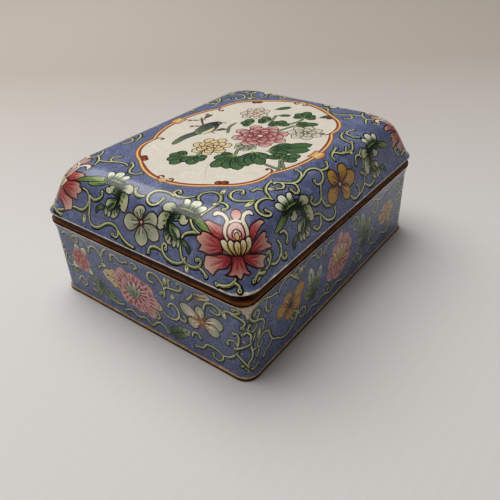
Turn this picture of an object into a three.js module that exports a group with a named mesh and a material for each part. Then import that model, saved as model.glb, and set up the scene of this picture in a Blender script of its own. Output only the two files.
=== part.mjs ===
// Enamelled copper box with a lift-off lid. Millimetres, +Z up, +Y along the length.
// The origin is the centre of the underside, on the surface that the box stands on.
import * as THREE from 'three';

// Driving dimensions of the base
const WIDTH = 79;                 // across X at the foot and at the mouth
const LENGTH = 100;               // along Y at the foot and at the mouth
const BASE_HEIGHT = 26.4;         // floor level up to the top of the enamelled wall
const BASE_CORNER = 4.3;          // plan radius of the base's outer corners
const BASE_WALL = 1.5;
const FLOOR = 1.6;
const FLOOR_FILLET = 2;
const FOOT_FLARE = 0.55;          // how far the foot stands proud of the wall above it
const FOOT_EDGE_HEIGHT = 1;       // bare copper edge of the foot
const FOOT_EDGE_ROUND = 0.3;
const FOOT_COVE_HEIGHT = 1.3;
const FOOT_RIM_WIDTH = 2.6;       // flat ring that touches the table
const UNDERSIDE_RECESS = 1.1;
const WALL_DRAFT = 0.2;           // the wall leans in this much between the foot and the mouth
const MOUTH_FLARE_HEIGHT = 4;     // the wall turns outwards over this height below its top

// Driving dimensions of the copper collar in the base's mouth
const COLLAR_GAP = 0.3;           // clearance to the base and to the lid
const COLLAR_STRIP = 0.8;         // thickness of the upright strip
const COLLAR_DEPTH = 6;           // how far the strip goes down inside the base
const COLLAR_RISE = 4;            // how far the strip stands above the bead
const BEAD_HEIGHT = 1;            // the bead that shows under the lid
const BEAD_INSET = 0.05;

// Driving dimensions of the lid
const LID_OVERHANG = 0.42;        // how far the lip stands out beyond the base
const LID_RIM_HEIGHT = 1.96;      // bare copper rim below the lip
const LID_RIM_SETBACK = 0.7;      // the rim is set back from the lip
const LID_RIM_WIDTH = 1.9;
const LID_RISE = 15.1;            // lip up to the flat top
const LID_WALL = 1.5;
const LID_CORNER = 5.9;           // plan radius of the lip's corners
const LID_CORNER_GROWTH = 0.36;   // added to the plan radius for each millimetre of inset
const LID_LIP_WIDTH = 0.74;
const LID_LIP_HEIGHT = 1.22;
const LID_SIDE_ANGLE = 70;        // degrees above the horizontal
const LID_SHOULDER_RADIUS = 8.8;

// Fineness of the faceting
const CORNER_STEPS = 9;
const SHOULDER_STEPS = 9;
const COVE_STEPS = 4;
const LIP_STEPS = 3;

const radians = THREE.MathUtils.degToRad;
const fractions = (steps) => Array.from({ length: steps + 1 }, (_, i) => i / steps);

// A ring is a rounded rectangle at one height: its inset from a plan outline, height and corner.
const ring = (inset, z, corner) => ({ inset, z, corner });

function ringPoints(plan, { inset, z, corner }) {
  const points = [];
  const straightX = plan.width / 2 - inset - corner;
  const straightY = plan.length / 2 - inset - corner;
  for (const quarter of [0, 1, 2, 3]) {
    const sideX = quarter === 0 || quarter === 3 ? 1 : -1;
    const sideY = quarter < 2 ? 1 : -1;
    for (const part of fractions(CORNER_STEPS)) {
      const angle = (quarter + part) * Math.PI / 2;
      points.push(new THREE.Vector3(
        sideX * straightX + corner * Math.cos(angle),
        sideY * straightY + corner * Math.sin(angle),
        z,
      ));
    }
  }
  return points;
}

// Skins one closed body over a run of rings. A capped run starts and ends in a flat face around
// the Z axis, first face down. A looped run joins its last ring to its first, as a hoop does.
function loftedBody(plan, rings, looped) {
  const loops = rings.map((each) => ringPoints(plan, each));
  const count = loops[0].length;
  const points = loops.flat();
  const faces = [];
  const bands = looped ? loops.length : loops.length - 1;
  for (let band = 0; band < bands; band++) {
    const low = band * count;
    const high = ((band + 1) % loops.length) * count;
    for (let i = 0; i < count; i++) {
      const next = (i + 1) % count;
      faces.push(low + i, low + next, high + next);
      faces.push(low + i, high + next, high + i);
    }
  }
  if (!looped) {
    const first = points.length;
    points.push(new THREE.Vector3(0, 0, rings[0].z));
    const last = points.length;
    points.push(new THREE.Vector3(0, 0, rings[rings.length - 1].z));
    const end = (loops.length - 1) * count;
    for (let i = 0; i < count; i++) {
      const next = (i + 1) % count;
      faces.push(first, next, i);
      faces.push(last, end + i, end + next);
    }
  }
  const geometry = new THREE.BufferGeometry().setFromPoints(points);
  geometry.setIndex(faces);
  geometry.computeVertexNormals();
  return geometry;
}

// Outline of the base seen in section, from the foot up to the top of the wall
const basePlan = { width: WIDTH, length: LENGTH };
const wallFoot = FOOT_EDGE_HEIGHT + FOOT_COVE_HEIGHT;
const flareStart = BASE_HEIGHT - MOUTH_FLARE_HEIGHT;
const wallInset = FOOT_FLARE + WALL_DRAFT;

function baseOutside() {
  const rings = [
    ring(FOOT_EDGE_ROUND, 0, BASE_CORNER - FOOT_EDGE_ROUND),
    ring(0, FOOT_EDGE_ROUND, BASE_CORNER),
  ];
  for (const part of fractions(COVE_STEPS)) {
    const inset = FOOT_FLARE * (1 - (1 - part) ** 2);
    rings.push(ring(inset, FOOT_EDGE_HEIGHT + FOOT_COVE_HEIGHT * part, BASE_CORNER - inset));
  }
  for (const part of fractions(COVE_STEPS)) {
    const inset = wallInset * (1 - part ** 2);
    rings.push(ring(inset, flareStart + MOUTH_FLARE_HEIGHT * part, BASE_CORNER - inset));
  }
  return rings;
}

function baseInside() {
  const innerCorner = BASE_CORNER - wallInset - BASE_WALL;
  const floorTop = UNDERSIDE_RECESS + FLOOR;
  const rings = [];
  for (const part of fractions(COVE_STEPS).reverse()) {
    const inset = BASE_WALL + wallInset * (1 - part ** 2);
    rings.push(ring(inset, flareStart + MOUTH_FLARE_HEIGHT * part, innerCorner));
  }
  for (const part of fractions(COVE_STEPS)) {
    const angle = part * Math.PI / 2;
    rings.push(ring(
      BASE_WALL + FOOT_FLARE + FLOOR_FILLET * (1 - Math.cos(angle)),
      floorTop + FLOOR_FILLET * (1 - Math.sin(angle)),
      innerCorner,
    ));
  }
  return rings;
}

function baseGeometry() {
  const rimInner = FOOT_EDGE_ROUND + FOOT_RIM_WIDTH;
  const rimCorner = BASE_CORNER - rimInner;
  return loftedBody(basePlan, [
    ring(rimInner, UNDERSIDE_RECESS, rimCorner),
    ring(rimInner, 0, rimCorner),
    ...baseOutside(),
    ...baseInside(),
  ], false);
}

// The collar stands on the wall's top edge. Its bead shows and its strip lines the mouth.
const beadFoot = BASE_HEIGHT + COLLAR_GAP;
const beadTop = beadFoot + BEAD_HEIGHT;
const stripOuter = wallInset + BASE_WALL + COLLAR_GAP;
const stripInner = stripOuter + COLLAR_STRIP;

// The lid's corners are rounder than the base's, so the strip's corners follow the lid's inside.
const lidCorner = (inset) => LID_CORNER + LID_CORNER_GROWTH * inset;
const lidRimInner = LID_RIM_SETBACK + LID_RIM_WIDTH;
const lidRimInnerCorner = lidCorner(lidRimInner) - LID_WALL;

function collarGeometry() {
  const outerCorner = lidRimInnerCorner - (stripOuter + LID_OVERHANG - lidRimInner);
  const innerCorner = outerCorner - COLLAR_STRIP;
  const beadMiddle = (beadFoot + beadTop) / 2;
  const beadShoulder = BEAD_INSET + BEAD_HEIGHT / 4;
  return loftedBody(basePlan, [
    ring(stripOuter, BASE_HEIGHT - COLLAR_DEPTH, outerCorner),
    ring(stripOuter, beadFoot, outerCorner),
    ring(beadShoulder, beadFoot, BASE_CORNER - beadShoulder),
    ring(BEAD_INSET, beadMiddle, BASE_CORNER - BEAD_INSET),
    ring(beadShoulder, beadTop, BASE_CORNER - beadShoulder),
    ring(stripOuter, beadTop, outerCorner),
    ring(stripOuter, beadTop + COLLAR_RISE, outerCorner),
    ring(stripInner, beadTop + COLLAR_RISE, innerCorner),
    ring(stripInner, BASE_HEIGHT - COLLAR_DEPTH, innerCorner),
  ], true);
}

// The lid is a bare rim, a lip that curls outwards, a sloping side, a round shoulder and a flat top.
const lidPlan = { width: WIDTH + 2 * LID_OVERHANG, length: LENGTH + 2 * LID_OVERHANG };
const lidFoot = beadTop + COLLAR_GAP;
const lipLevel = lidFoot + LID_RIM_HEIGHT;
const topLevel = lipLevel + LID_RISE;
const sideAngle = radians(LID_SIDE_ANGLE);
const shoulderFoot = topLevel - LID_SHOULDER_RADIUS * (1 - Math.cos(sideAngle));
const sideFoot = lipLevel + LID_LIP_HEIGHT;
const sideInset = LID_LIP_WIDTH + (shoulderFoot - sideFoot) / Math.tan(sideAngle);
const topInset = sideInset + LID_SHOULDER_RADIUS * Math.sin(sideAngle);

function lidOutside() {
  const rings = [];
  for (const part of fractions(LIP_STEPS)) {
    const inset = LID_LIP_WIDTH * part ** 1.5;
    rings.push(ring(inset, lipLevel + LID_LIP_HEIGHT * part, lidCorner(inset)));
  }
  for (const part of fractions(SHOULDER_STEPS)) {
    const angle = sideAngle * (1 - part);
    const inset = topInset - LID_SHOULDER_RADIUS * Math.sin(angle);
    const z = topLevel - LID_SHOULDER_RADIUS * (1 - Math.cos(angle));
    rings.push(ring(inset, z, lidCorner(inset)));
  }
  return rings;
}

// The inner face keeps the wall's thickness square to the outer face.
function lidInside() {
  const innerRadius = LID_SHOULDER_RADIUS - LID_WALL;
  const across = LID_WALL * Math.sin(sideAngle);
  const rimTop = sideFoot - LID_WALL * Math.cos(sideAngle)
    + (lidRimInner - LID_LIP_WIDTH - across) * Math.tan(sideAngle);
  const rings = [];
  for (const part of fractions(SHOULDER_STEPS).reverse()) {
    const angle = sideAngle * (1 - part);
    const inset = topInset - innerRadius * Math.sin(angle);
    const z = topLevel - LID_WALL - innerRadius * (1 - Math.cos(angle));
    rings.push(ring(inset, z, lidCorner(inset) - LID_WALL));
  }
  rings.push(ring(lidRimInner, rimTop, lidRimInnerCorner));
  rings.push(ring(lidRimInner, lidFoot, lidRimInnerCorner));
  return rings;
}

function lidGeometry() {
  const rimOuterCorner = lidCorner(LID_RIM_SETBACK) - LID_RIM_SETBACK;
  return loftedBody(lidPlan, [
    ...lidInside(),
    ring(LID_RIM_SETBACK, lidFoot, rimOuterCorner),
    ring(LID_RIM_SETBACK, lipLevel, rimOuterCorner),
    ...lidOutside(),
  ], false);
}

const blueEnamel = new THREE.MeshStandardMaterial({ color: 0x6472ac, roughness: 0.22, metalness: 0 });
const lidEnamel = blueEnamel.clone();
const bareCopper = new THREE.MeshStandardMaterial({ color: 0x7a4a26, roughness: 0.45, metalness: 0.85 });

function namedMesh(name, geometry, material) {
  const mesh = new THREE.Mesh(geometry, material);
  mesh.name = name;
  return mesh;
}

const box = new THREE.Group();
box.add(namedMesh('base', baseGeometry(), blueEnamel));
box.add(namedMesh('rim_collar', collarGeometry(), bareCopper));
box.add(namedMesh('lid', lidGeometry(), lidEnamel));

export default box;
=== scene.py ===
"""Canton enamel lidded box: a copper box, painted all over in enamel, with a lid that lifts off.

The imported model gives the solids. This script gives them their finish: each painted face is drawn
flat, in millimetres, as shapes laid one over another, cut into one mesh and folded round its solid.
"""
from math import cos, pi, radians, sin, tan

import bmesh
import bpy
import numpy as np
from bpy.props import FloatProperty, FloatVectorProperty, PointerProperty
from bpy.types import Operator, Panel, PropertyGroup
from mathutils import Matrix, Vector
from mathutils.geometry import delaunay_2d_cdt


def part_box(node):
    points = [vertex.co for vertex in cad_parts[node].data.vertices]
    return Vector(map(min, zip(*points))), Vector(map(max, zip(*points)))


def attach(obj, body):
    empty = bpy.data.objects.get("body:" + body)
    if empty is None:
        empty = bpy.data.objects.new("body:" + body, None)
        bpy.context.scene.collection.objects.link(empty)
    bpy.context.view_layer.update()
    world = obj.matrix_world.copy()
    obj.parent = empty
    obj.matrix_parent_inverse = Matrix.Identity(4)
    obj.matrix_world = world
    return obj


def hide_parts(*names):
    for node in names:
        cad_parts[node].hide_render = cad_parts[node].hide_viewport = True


bl_info = {
    "name": "Canton enamel box",
    "version": (1, 0, 0),
    "blender": (4, 5, 0),
    "location": "View3D > Sidebar > Canton box",
    "description": "Dresses a lidded copper box in painted enamel",
    "category": "Object",
}

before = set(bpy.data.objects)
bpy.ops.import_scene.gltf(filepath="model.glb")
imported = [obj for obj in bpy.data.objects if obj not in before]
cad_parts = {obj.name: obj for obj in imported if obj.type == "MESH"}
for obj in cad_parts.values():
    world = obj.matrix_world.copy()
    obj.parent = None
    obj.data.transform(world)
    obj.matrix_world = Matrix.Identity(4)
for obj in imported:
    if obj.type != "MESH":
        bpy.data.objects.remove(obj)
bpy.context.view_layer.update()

MM = 0.001

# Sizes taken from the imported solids, in millimetres
base_low, base_high = (np.array(corner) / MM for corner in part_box("base"))
lid_low, lid_high = (np.array(corner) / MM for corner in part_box("lid"))
BASE_WIDTH, BASE_LENGTH, BASE_TOP = base_high - [base_low[0], base_low[1], 0]
LID_WIDTH, LID_LENGTH = (lid_high - lid_low)[:2]
LID_FOOT, LID_TOP = lid_low[2], lid_high[2]

# Sizes of the base that the solids don't state as a box, in millimetres
BASE_CORNER = 4.3
BASE_WALL = 1.5
FOOT_EDGE = 1.0
COVE_HEIGHT = 1.3
COVE_INSET = 0.55
WALL_INSET = 0.75
FLARE_HEIGHT = 4.0
FOOT_RIM = 2.7
MOUTH_EDGE = 0.3

# Sizes of the lid
RIM_HEIGHT = 1.96
LIP = LID_FOOT + RIM_HEIGHT
LIP_CURL_WIDTH = 0.74
LIP_CURL_HEIGHT = 1.22
SIDE_ANGLE = radians(70)
SHOULDER = 8.8
LID_CORNER = 5.9
CORNER_GROWTH = 0.36

# Steps that the sections of base and lid are drawn with
SECTION_STEPS = 8
SHOULDER_STEPS = 18

# Spacing of the lid's loose points, under its paint and on its hidden inner side, and the number of
# points along the base's strip
PAINT_NET = 2.4
HIDDEN_NET = 3.2
STRIP_POINTS = 240

# How near to a height or an edge of the solids still counts as on it
TOUCH = 0.01


def srgb(red, green, blue):
    """A screen colour, 0 to 255, as the linear light that shaders take."""
    parts = np.array((red, green, blue)) / 255
    return tuple(np.where(parts <= 0.04045, parts / 12.92, ((parts + 0.055) / 1.055) ** 2.4))


# Enamel colours
BLUE = srgb(106, 116, 152)
BASE_BLUE = srgb(101, 112, 148)
IVORY = srgb(228, 223, 212)
GOLD = srgb(212, 156, 92)
GOLD_LIGHT = srgb(236, 212, 150)
GOLD_DEEP = srgb(170, 92, 40)
RED_BROWN = srgb(112, 40, 24)
RUST = srgb(150, 74, 44)
INK = srgb(12, 18, 16)
BROWN_INK = srgb(52, 32, 24)
LIP_PINK = srgb(224, 206, 188)
FOOT_GOLD = srgb(186, 156, 118)
CREAM = srgb(222, 220, 178)
PALE_SCROLL = srgb(192, 196, 148)
OLIVE = srgb(98, 112, 54)
CRIMSON = srgb(146, 44, 50)
ROSE = srgb(184, 92, 92)
PALE_ROSE = srgb(220, 186, 168)
DEEP_ROSE = srgb(104, 30, 40)
MAROON = srgb(64, 14, 20)
SHELL = srgb(214, 196, 172)
CREAM_WHITE = srgb(236, 230, 208)
SHELL_PINK = srgb(224, 188, 182)
ROSE_BALL = srgb(206, 134, 128)
OCHRE = srgb(192, 152, 78)
OCHRE_LIGHT = srgb(214, 190, 128)
DEEP_OCHRE = srgb(158, 108, 44)
LEAF = srgb(86, 116, 66)
DEEP_LEAF = srgb(38, 70, 44)
LEAF_GREY = srgb(124, 142, 106)
LEAF_LIGHT = srgb(140, 166, 98)
WHITE_LOBE = srgb(232, 236, 216)
PALE_LOBE = srgb(196, 196, 166)
BLOSSOM_WHITE = srgb(216, 208, 190)
BLOSSOM_GREEN = srgb(150, 164, 132)
PICTURE_LEAF = srgb(78, 116, 74)
PICTURE_LEAF_DEEP = srgb(42, 78, 52)
PICTURE_ROSE = srgb(168, 92, 100)
PICTURE_ROSE_PALE = srgb(228, 202, 192)
PICTURE_YELLOW = srgb(206, 160, 86)
PICTURE_YELLOW_PALE = srgb(226, 208, 166)
BIRD_GREY = srgb(84, 96, 92)
BIRD_DARK = srgb(38, 46, 48)
BIRD_YELLOW = srgb(222, 206, 140)
TWIG = srgb(104, 74, 68)
WORN = srgb(178, 158, 128)


# Surfaces that the flat drawings are folded round

def lid_section():
    """Inset and height of the lid's outside, from the lip up to the flat top."""
    shoulder_foot = LID_TOP - SHOULDER * (1 - cos(SIDE_ANGLE))
    curl_top = LIP + LIP_CURL_HEIGHT
    side_inset = LIP_CURL_WIDTH + (shoulder_foot - curl_top) / tan(SIDE_ANGLE)
    part = np.linspace(0, 1, SECTION_STEPS + 1)[:, None]
    curl = np.hstack([LIP_CURL_WIDTH * part ** 1.5, LIP + LIP_CURL_HEIGHT * part])
    side = np.array([LIP_CURL_WIDTH, curl_top]) + part[1:] * [
        side_inset - LIP_CURL_WIDTH, shoulder_foot - curl_top]
    lean = np.linspace(SIDE_ANGLE, 0, SHOULDER_STEPS + 1)[1:, None]
    shoulder = np.hstack([
        side_inset + SHOULDER * (sin(SIDE_ANGLE) - np.sin(lean)),
        LID_TOP - SHOULDER * (1 - np.cos(lean)),
    ])
    return np.vstack([curl, side, shoulder])


def base_section():
    """Inset and height of the base's outside, from the foot's edge up to the mouth."""
    part = np.linspace(0, 1, SECTION_STEPS + 1)[:, None]
    cove = np.hstack([COVE_INSET * (1 - (1 - part) ** 2), FOOT_EDGE + COVE_HEIGHT * part])
    flare = np.hstack([WALL_INSET * (1 - part ** 2), BASE_TOP - FLARE_HEIGHT * (1 - part)])
    return np.vstack([cove, flare])


def run_lengths(section):
    """Distance along a section from its first point to each of its points."""
    return np.concatenate([[0], np.cumsum(np.hypot(*np.diff(section, axis=0).T))])


LID_SECTION = lid_section()
LID_RUN = run_lengths(LID_SECTION)
LID_SLANT = LID_RUN[-1]
CURL_RUN = LID_RUN[SECTION_STEPS]
TOP_INSET = LID_SECTION[-1, 0]
BASE_SECTION = base_section()
BASE_RUN = run_lengths(BASE_SECTION)
BASE_SLANT = BASE_RUN[-1]


def lid_ring_sizes(outward):
    """Height, plan radius, centre and drawn radius of the lid's corner, a distance out from the top."""
    run = np.clip(LID_SLANT - outward, 0, LID_SLANT)
    inset = np.interp(run, LID_RUN, LID_SECTION[:, 0])
    height = np.interp(run, LID_RUN, LID_SECTION[:, 1])
    radius = LID_CORNER + CORNER_GROWTH * inset
    centre_x = LID_WIDTH / 2 - inset - radius
    centre_y = LID_LENGTH / 2 - inset - radius
    drawn = radius + outward - (TOP_INSET - inset)
    return height, radius, centre_x, centre_y, drawn


def fold_lid(drawing):
    """Places points of the lid's flat drawing on its outside: the slant is laid out round the top."""
    across, along = np.abs(drawing).T
    past_lip, halvings = 8, 32
    low = np.zeros(len(drawing))
    high = np.full(len(drawing), LID_SLANT + past_lip)

    def beyond(outward):
        _, _, centre_x, centre_y, drawn = lid_ring_sizes(outward)
        over_x, over_y = across - centre_x, along - centre_y
        corner = np.hypot(np.maximum(over_x, 0), np.maximum(over_y, 0))
        return corner + np.minimum(np.maximum(over_x, over_y), 0) - drawn

    flat = beyond(low) <= 0
    for _ in range(halvings):
        middle = (low + high) / 2
        outside = beyond(middle) > 0
        low = np.where(outside, middle, low)
        high = np.where(outside, high, middle)
    height, radius, centre_x, centre_y, _ = lid_ring_sizes(low)
    over_x, over_y = across - centre_x, along - centre_y
    reach = np.hypot(np.maximum(over_x, 0), np.maximum(over_y, 0)) + 1e-9
    x = np.where(over_x > 0, centre_x + over_x.clip(0) / reach * radius, across)
    y = np.where(over_y > 0, centre_y + over_y.clip(0) / reach * radius, along)
    x = np.where(flat, across, x) * np.sign(drawing[:, 0])
    y = np.where(flat, along, y) * np.sign(drawing[:, 1])
    return np.stack([x, y, np.where(flat, LID_TOP, height)], 1)


def lid_ring(run, steps=12):
    """The lid's drawn outline at a run up from the lip, as a closed loop."""
    _, _, centre_x, centre_y, drawn = lid_ring_sizes(LID_SLANT - run)
    points = []
    for quarter, (side_x, side_y) in enumerate([(1, 1), (-1, 1), (-1, -1), (1, -1)]):
        for angle in (quarter + np.linspace(0, 1, steps)) * pi / 2:
            points.append((side_x * centre_x + drawn * cos(angle),
                           side_y * centre_y + drawn * sin(angle)))
    return np.array(points)


def spaced(loop, step):
    """A closed loop with points added so that none are much further apart than a step."""
    points = []
    for here, ahead in zip(loop, np.roll(loop, -1, axis=0)):
        count = max(1, int(np.hypot(*(ahead - here)) / step))
        points += [here + part * (ahead - here) for part in np.arange(count) / count]
    return np.array(points)


# The base's wall is drawn as one strip. It starts at the middle of the front, at 0, and runs both
# ways round to the middle of the corner behind on the left, where its ends meet.
HALF_WIDTH = BASE_WIDTH / 2 - BASE_CORNER
HALF_LENGTH = BASE_LENGTH / 2 - BASE_CORNER
QUARTER_TURN = (BASE_CORNER - COVE_INSET) * pi / 2
STRIP_END = 3 * HALF_WIDTH + 2 * HALF_LENGTH + 2.5 * QUARTER_TURN
STRIP_START = -(HALF_WIDTH + 2 * HALF_LENGTH + 1.5 * QUARTER_TURN)
SIDES = {
    "front": 0.0,
    "right": HALF_WIDTH + QUARTER_TURN + HALF_LENGTH,
    "back": 2 * HALF_WIDTH + 2 * QUARTER_TURN + 2 * HALF_LENGTH,
    "left": -(HALF_WIDTH + QUARTER_TURN + HALF_LENGTH),
}


def fold_base(drawing):
    """Places points of the base's drawn strip, distance round and run up, on its outside."""
    around, run = drawing.T
    inset = np.interp(run, BASE_RUN, BASE_SECTION[:, 0])
    height = np.interp(run, BASE_RUN, BASE_SECTION[:, 1])
    radius = BASE_CORNER - inset
    whole = STRIP_END - STRIP_START
    walked = (around + HALF_WIDTH) % whole
    x = np.zeros(len(drawing))
    y = np.zeros(len(drawing))
    start = 0.0
    lengths = [2 * HALF_WIDTH, 2 * HALF_LENGTH, 2 * HALF_WIDTH, 2 * HALF_LENGTH]
    corners = [(HALF_WIDTH, -HALF_LENGTH), (HALF_WIDTH, HALF_LENGTH),
               (-HALF_WIDTH, HALF_LENGTH), (-HALF_WIDTH, -HALF_LENGTH)]
    # Each side is straight, and then turns round its corner.
    for side, (length, corner) in enumerate(zip(lengths, corners)):
        facing = (side - 1) * pi / 2
        step = walked - start
        straight = (step >= 0) & (step <= length)
        turn = (step > length) & (step <= length + QUARTER_TURN)
        back = length - step
        x = np.where(straight, corner[0] + back * sin(facing) + radius * cos(facing), x)
        y = np.where(straight, corner[1] - back * cos(facing) + radius * sin(facing), y)
        angle = facing + (step - length) / QUARTER_TURN * pi / 2
        x = np.where(turn, corner[0] + radius * np.cos(angle), x)
        y = np.where(turn, corner[1] + radius * np.sin(angle), y)
        start += length + QUARTER_TURN
    return np.stack([x, y, height], 1)


def facing_out(fold, drawing, centre):
    """The outward direction of a folded surface at points of its drawing, kept just off its edge."""
    step, nudge = 0.02, 0.0004
    at = drawing + (centre - drawing) * nudge
    along_x = fold(at + [step, 0]) - fold(at - [step, 0])
    along_y = fold(at + [0, step]) - fold(at - [0, step])
    out = np.cross(along_x, along_y)
    return out / np.linalg.norm(out, axis=1)[:, None]


# Drawing

def direction(angle):
    """A step of one millimetre at an angle, in radians."""
    return np.array([cos(angle), sin(angle)])


def left_of(step):
    """A step turned a quarter to its left."""
    return np.array([-step[1], step[0]])


def headings(path, closed=False):
    """The direction of a path at each of its points, as steps of one millimetre."""
    heading = np.gradient(path, axis=0)
    if closed:
        heading[0] = heading[-1] = heading[0] + heading[-1]
    return heading / (np.linalg.norm(heading, axis=1)[:, None] + 1e-9)


def turned(x, y, angle, centre):
    """Points turned by an angle, in radians, and moved to a centre."""
    return np.stack([centre[0] + x * cos(angle) - y * sin(angle),
                     centre[1] + x * sin(angle) + y * cos(angle)], 1)


def even(colour):
    """A colour that is the same all over a shape."""
    return lambda at: np.tile(colour, (len(at), 1))


def smooth(points, closed=False, step=0.8):
    """A curve through a few points, as short straight steps."""
    points = np.asarray(points, float)
    if closed:
        points = np.vstack([points[-1:], points, points[:2]])
    else:
        points = np.vstack([2 * points[0] - points[1], points, 2 * points[-1] - points[-2]])
    curve = []
    for before, start, end, after in zip(points, points[1:], points[2:], points[3:]):
        steps = max(2, int(np.linalg.norm(end - start) / step) + 1)
        part = np.linspace(0, 1, steps, endpoint=False)[:, None]
        pull_out, pull_in = (end - before) / 2, (after - start) / 2
        curve.append(
            start * (2 * part ** 3 - 3 * part ** 2 + 1) + end * (3 * part ** 2 - 2 * part ** 3)
            + pull_out * (part ** 3 - 2 * part ** 2 + part) + pull_in * (part ** 3 - part ** 2))
    if not closed:
        curve.append(points[-2:-1])
    return np.vstack(curve)


def crosses_itself(outline):
    """True where any two sides of an outline cross."""
    after = np.roll(outline, -1, axis=0)
    side = (after - outline)[:, None]
    to_start = outline[None] - outline[:, None]
    to_end = after[None] - outline[:, None]
    apart = (side[..., 0] * to_start[..., 1] - side[..., 1] * to_start[..., 0]) * (
        side[..., 0] * to_end[..., 1] - side[..., 1] * to_end[..., 0])
    return bool(((apart < -1e-12) & (apart.T < -1e-12)).any())


# A brush line is cut into parts of so many steps. It tapers over a quarter of its length where its
# ends are thin, never below a share of its width, and has round ends from a width up.
PART_STEPS = 16
TAPER = 4
THINNEST = 0.05
ROUND_FROM = 0.45
LARGE_DOT = 0.6


class Drawing:
    """Flat coloured shapes laid one over another, later ones on top."""

    def __init__(self):
        self.points = []
        self.shapes = []
        self.tones = []
        self.loose = []
        self.place = np.asarray
        self.ground_count = 0

    def add(self, points, shapes, tone):
        """Adds shapes that share points, each wound anticlockwise as it lies on the drawing.

        Their tone is one colour, or gives a colour for each of the places it is asked about.
        """
        tone = tone if callable(tone) else even(tone)
        placed = self.place(np.asarray(points, float))
        first = len(self.points)
        self.points.extend(map(tuple, placed))
        for shape in shapes:
            outline = placed[shape]
            after = np.roll(outline, -1, axis=0)
            area = np.sum(outline[:, 0] * after[:, 1] - outline[:, 1] * after[:, 0])
            if abs(area) > 1e-4:
                order = shape if area > 0 else shape[::-1]
                self.shapes.append([first + index for index in order])
                self.tones.append(tone)

    def fill(self, outline, tone):
        """Adds a filled shape."""
        self.add(outline, [list(range(len(outline)))], tone)

    def line(self, path, width, tone, closed=False, ends=(1, 1)):
        """Adds a brush line, of one width or one for each point: ends are shares of it there."""
        path = np.asarray(path, float)
        if closed:
            path = np.vstack([path, path[:1]])
        part = np.linspace(0, 1, len(path))
        taper = np.minimum(ends[0] + part * TAPER, ends[1] + (1 - part) * TAPER)
        sizes = width * np.clip(taper, THINNEST, 1)
        half = left_of(headings(path, closed).T).T * sizes[:, None] / 2
        points = np.stack([path + half, path - half], 1).reshape(-1, 2)
        last = len(path) - 1
        strips = [(start, min(start + PART_STEPS, last)) for start in range(0, last, PART_STEPS)]
        shapes = []
        while strips:
            start, end = strips.pop()
            near = list(range(2 * start, 2 * end + 2, 2))
            far = [index + 1 for index in reversed(near)]
            if not crosses_itself(points[near + far]):
                shapes.append(near + far)
            elif end - start > 1:
                middle = (start + end) // 2
                strips += [(start, middle), (middle, end)]
            else:
                shapes += [near + far[:1], [near[0]] + far]
        self.add(points, shapes, tone)
        if not closed:
            for end, size in ((path[0], sizes[0]), (path[-1], sizes[-1])):
                if size > ROUND_FROM:
                    self.dot(end, size / 2, tone)

    def stroke(self, start, end, width, tone, ends, bend=0):
        """Adds a short brush stroke, its middle moved aside by a bend."""
        self.line([start, (start + end) / 2 + bend, end], width, tone, ends=ends)

    def dot(self, centre, radius, tone, flat=1.0, turn=0.0):
        """Adds a round or oval spot."""
        angles = np.linspace(0, 2 * pi, 12 if radius > LARGE_DOT else 8)[:-1]
        self.fill(turned(radius * np.cos(angles), radius * flat * np.sin(angles), turn, centre), tone)

    def shaded(self, foot, tip, *colours):
        """Colours that change evenly along a line from a shape's foot to its tip."""
        foot, tip = self.place(np.array([foot, tip], float))
        axis = tip - foot
        colours = np.array(colours)
        places = np.linspace(0, 1, len(colours))

        def tone(at):
            part = (at - foot) @ axis / (axis @ axis)
            return np.stack([np.interp(part, places, channel) for channel in colours.T], 1)
        return tone

    def cut(self):
        """Cuts the drawing into triangles, each with the tone of the topmost shape over it."""
        flat = [Vector(point) for point in self.points + self.loose]
        places, _, faces, _, _, owners = delaunay_2d_cdt(flat, [], self.shapes, 0, 1e-4, True)
        kept = [(face, max(owner)) for face, owner in zip(faces, owners) if owner and 0 in owner]
        places = np.array([place[:] for place in places])
        triangles = np.array([face for face, _ in kept])
        tone_of = np.array([owner for _, owner in kept])
        return places, triangles, tone_of

    def colours(self, places, triangles, tone_of):
        """The colours of the triangles' corners, worked out a shape at a time."""
        colours = np.zeros((len(triangles) * 3, 3))
        order = np.argsort(tone_of, kind="stable")
        for group in np.split(order, np.flatnonzero(np.diff(tone_of[order])) + 1):
            corners = (group[:, None] * 3 + np.arange(3)).ravel()
            colours[corners] = self.tones[tone_of[group[0]]](places[triangles[group].ravel()])
        return colours


def rim_of(triangles):
    """The sides that only one triangle has, and their points in order round the drawing."""
    sides = np.vstack([triangles[:, [0, 1]], triangles[:, [1, 2]], triangles[:, [2, 0]]])
    known = set(map(tuple, sides))
    rim = [(a, b) for a, b in known if (b, a) not in known]
    follow = dict(rim)
    loop = [rim[0][0]]
    while follow[loop[-1]] != loop[0]:
        loop.append(follow[loop[-1]])
    return rim, loop


def hidden_side(places, loop, coarse):
    """Cuts the unpainted inner side, which takes the rim's points and a coarse net between them."""
    flat = [Vector(places[index]) for index in loop] + [Vector(point) for point in coarse]
    inner_places, _, faces, origins, _, owners = delaunay_2d_cdt(
        flat, [], [list(range(len(loop)))], 0, 1e-5, True)
    partner = {}
    for index, origin in enumerate(origins):
        partner.update({loop[source]: index for source in origin if source < len(loop)})
    faces = [face for face, owner in zip(faces, owners) if owner]
    return np.array([place[:] for place in inner_places]), faces, partner


def lay_texture(faces, places, painted_count, spread):
    """The place of every face's corners in the texture map."""
    corner_count = np.array([len(face) for face in faces])
    corner_of = np.concatenate([np.array(face) for face in faces])
    face_of = np.repeat(np.arange(len(faces)), corner_count)
    middle = np.stack([np.bincount(face_of, places[corner_of, axis]) for axis in (0, 1)], 1)
    middle /= corner_count[:, None]
    return spread(places[corner_of], middle[face_of], face_of >= painted_count)


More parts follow.
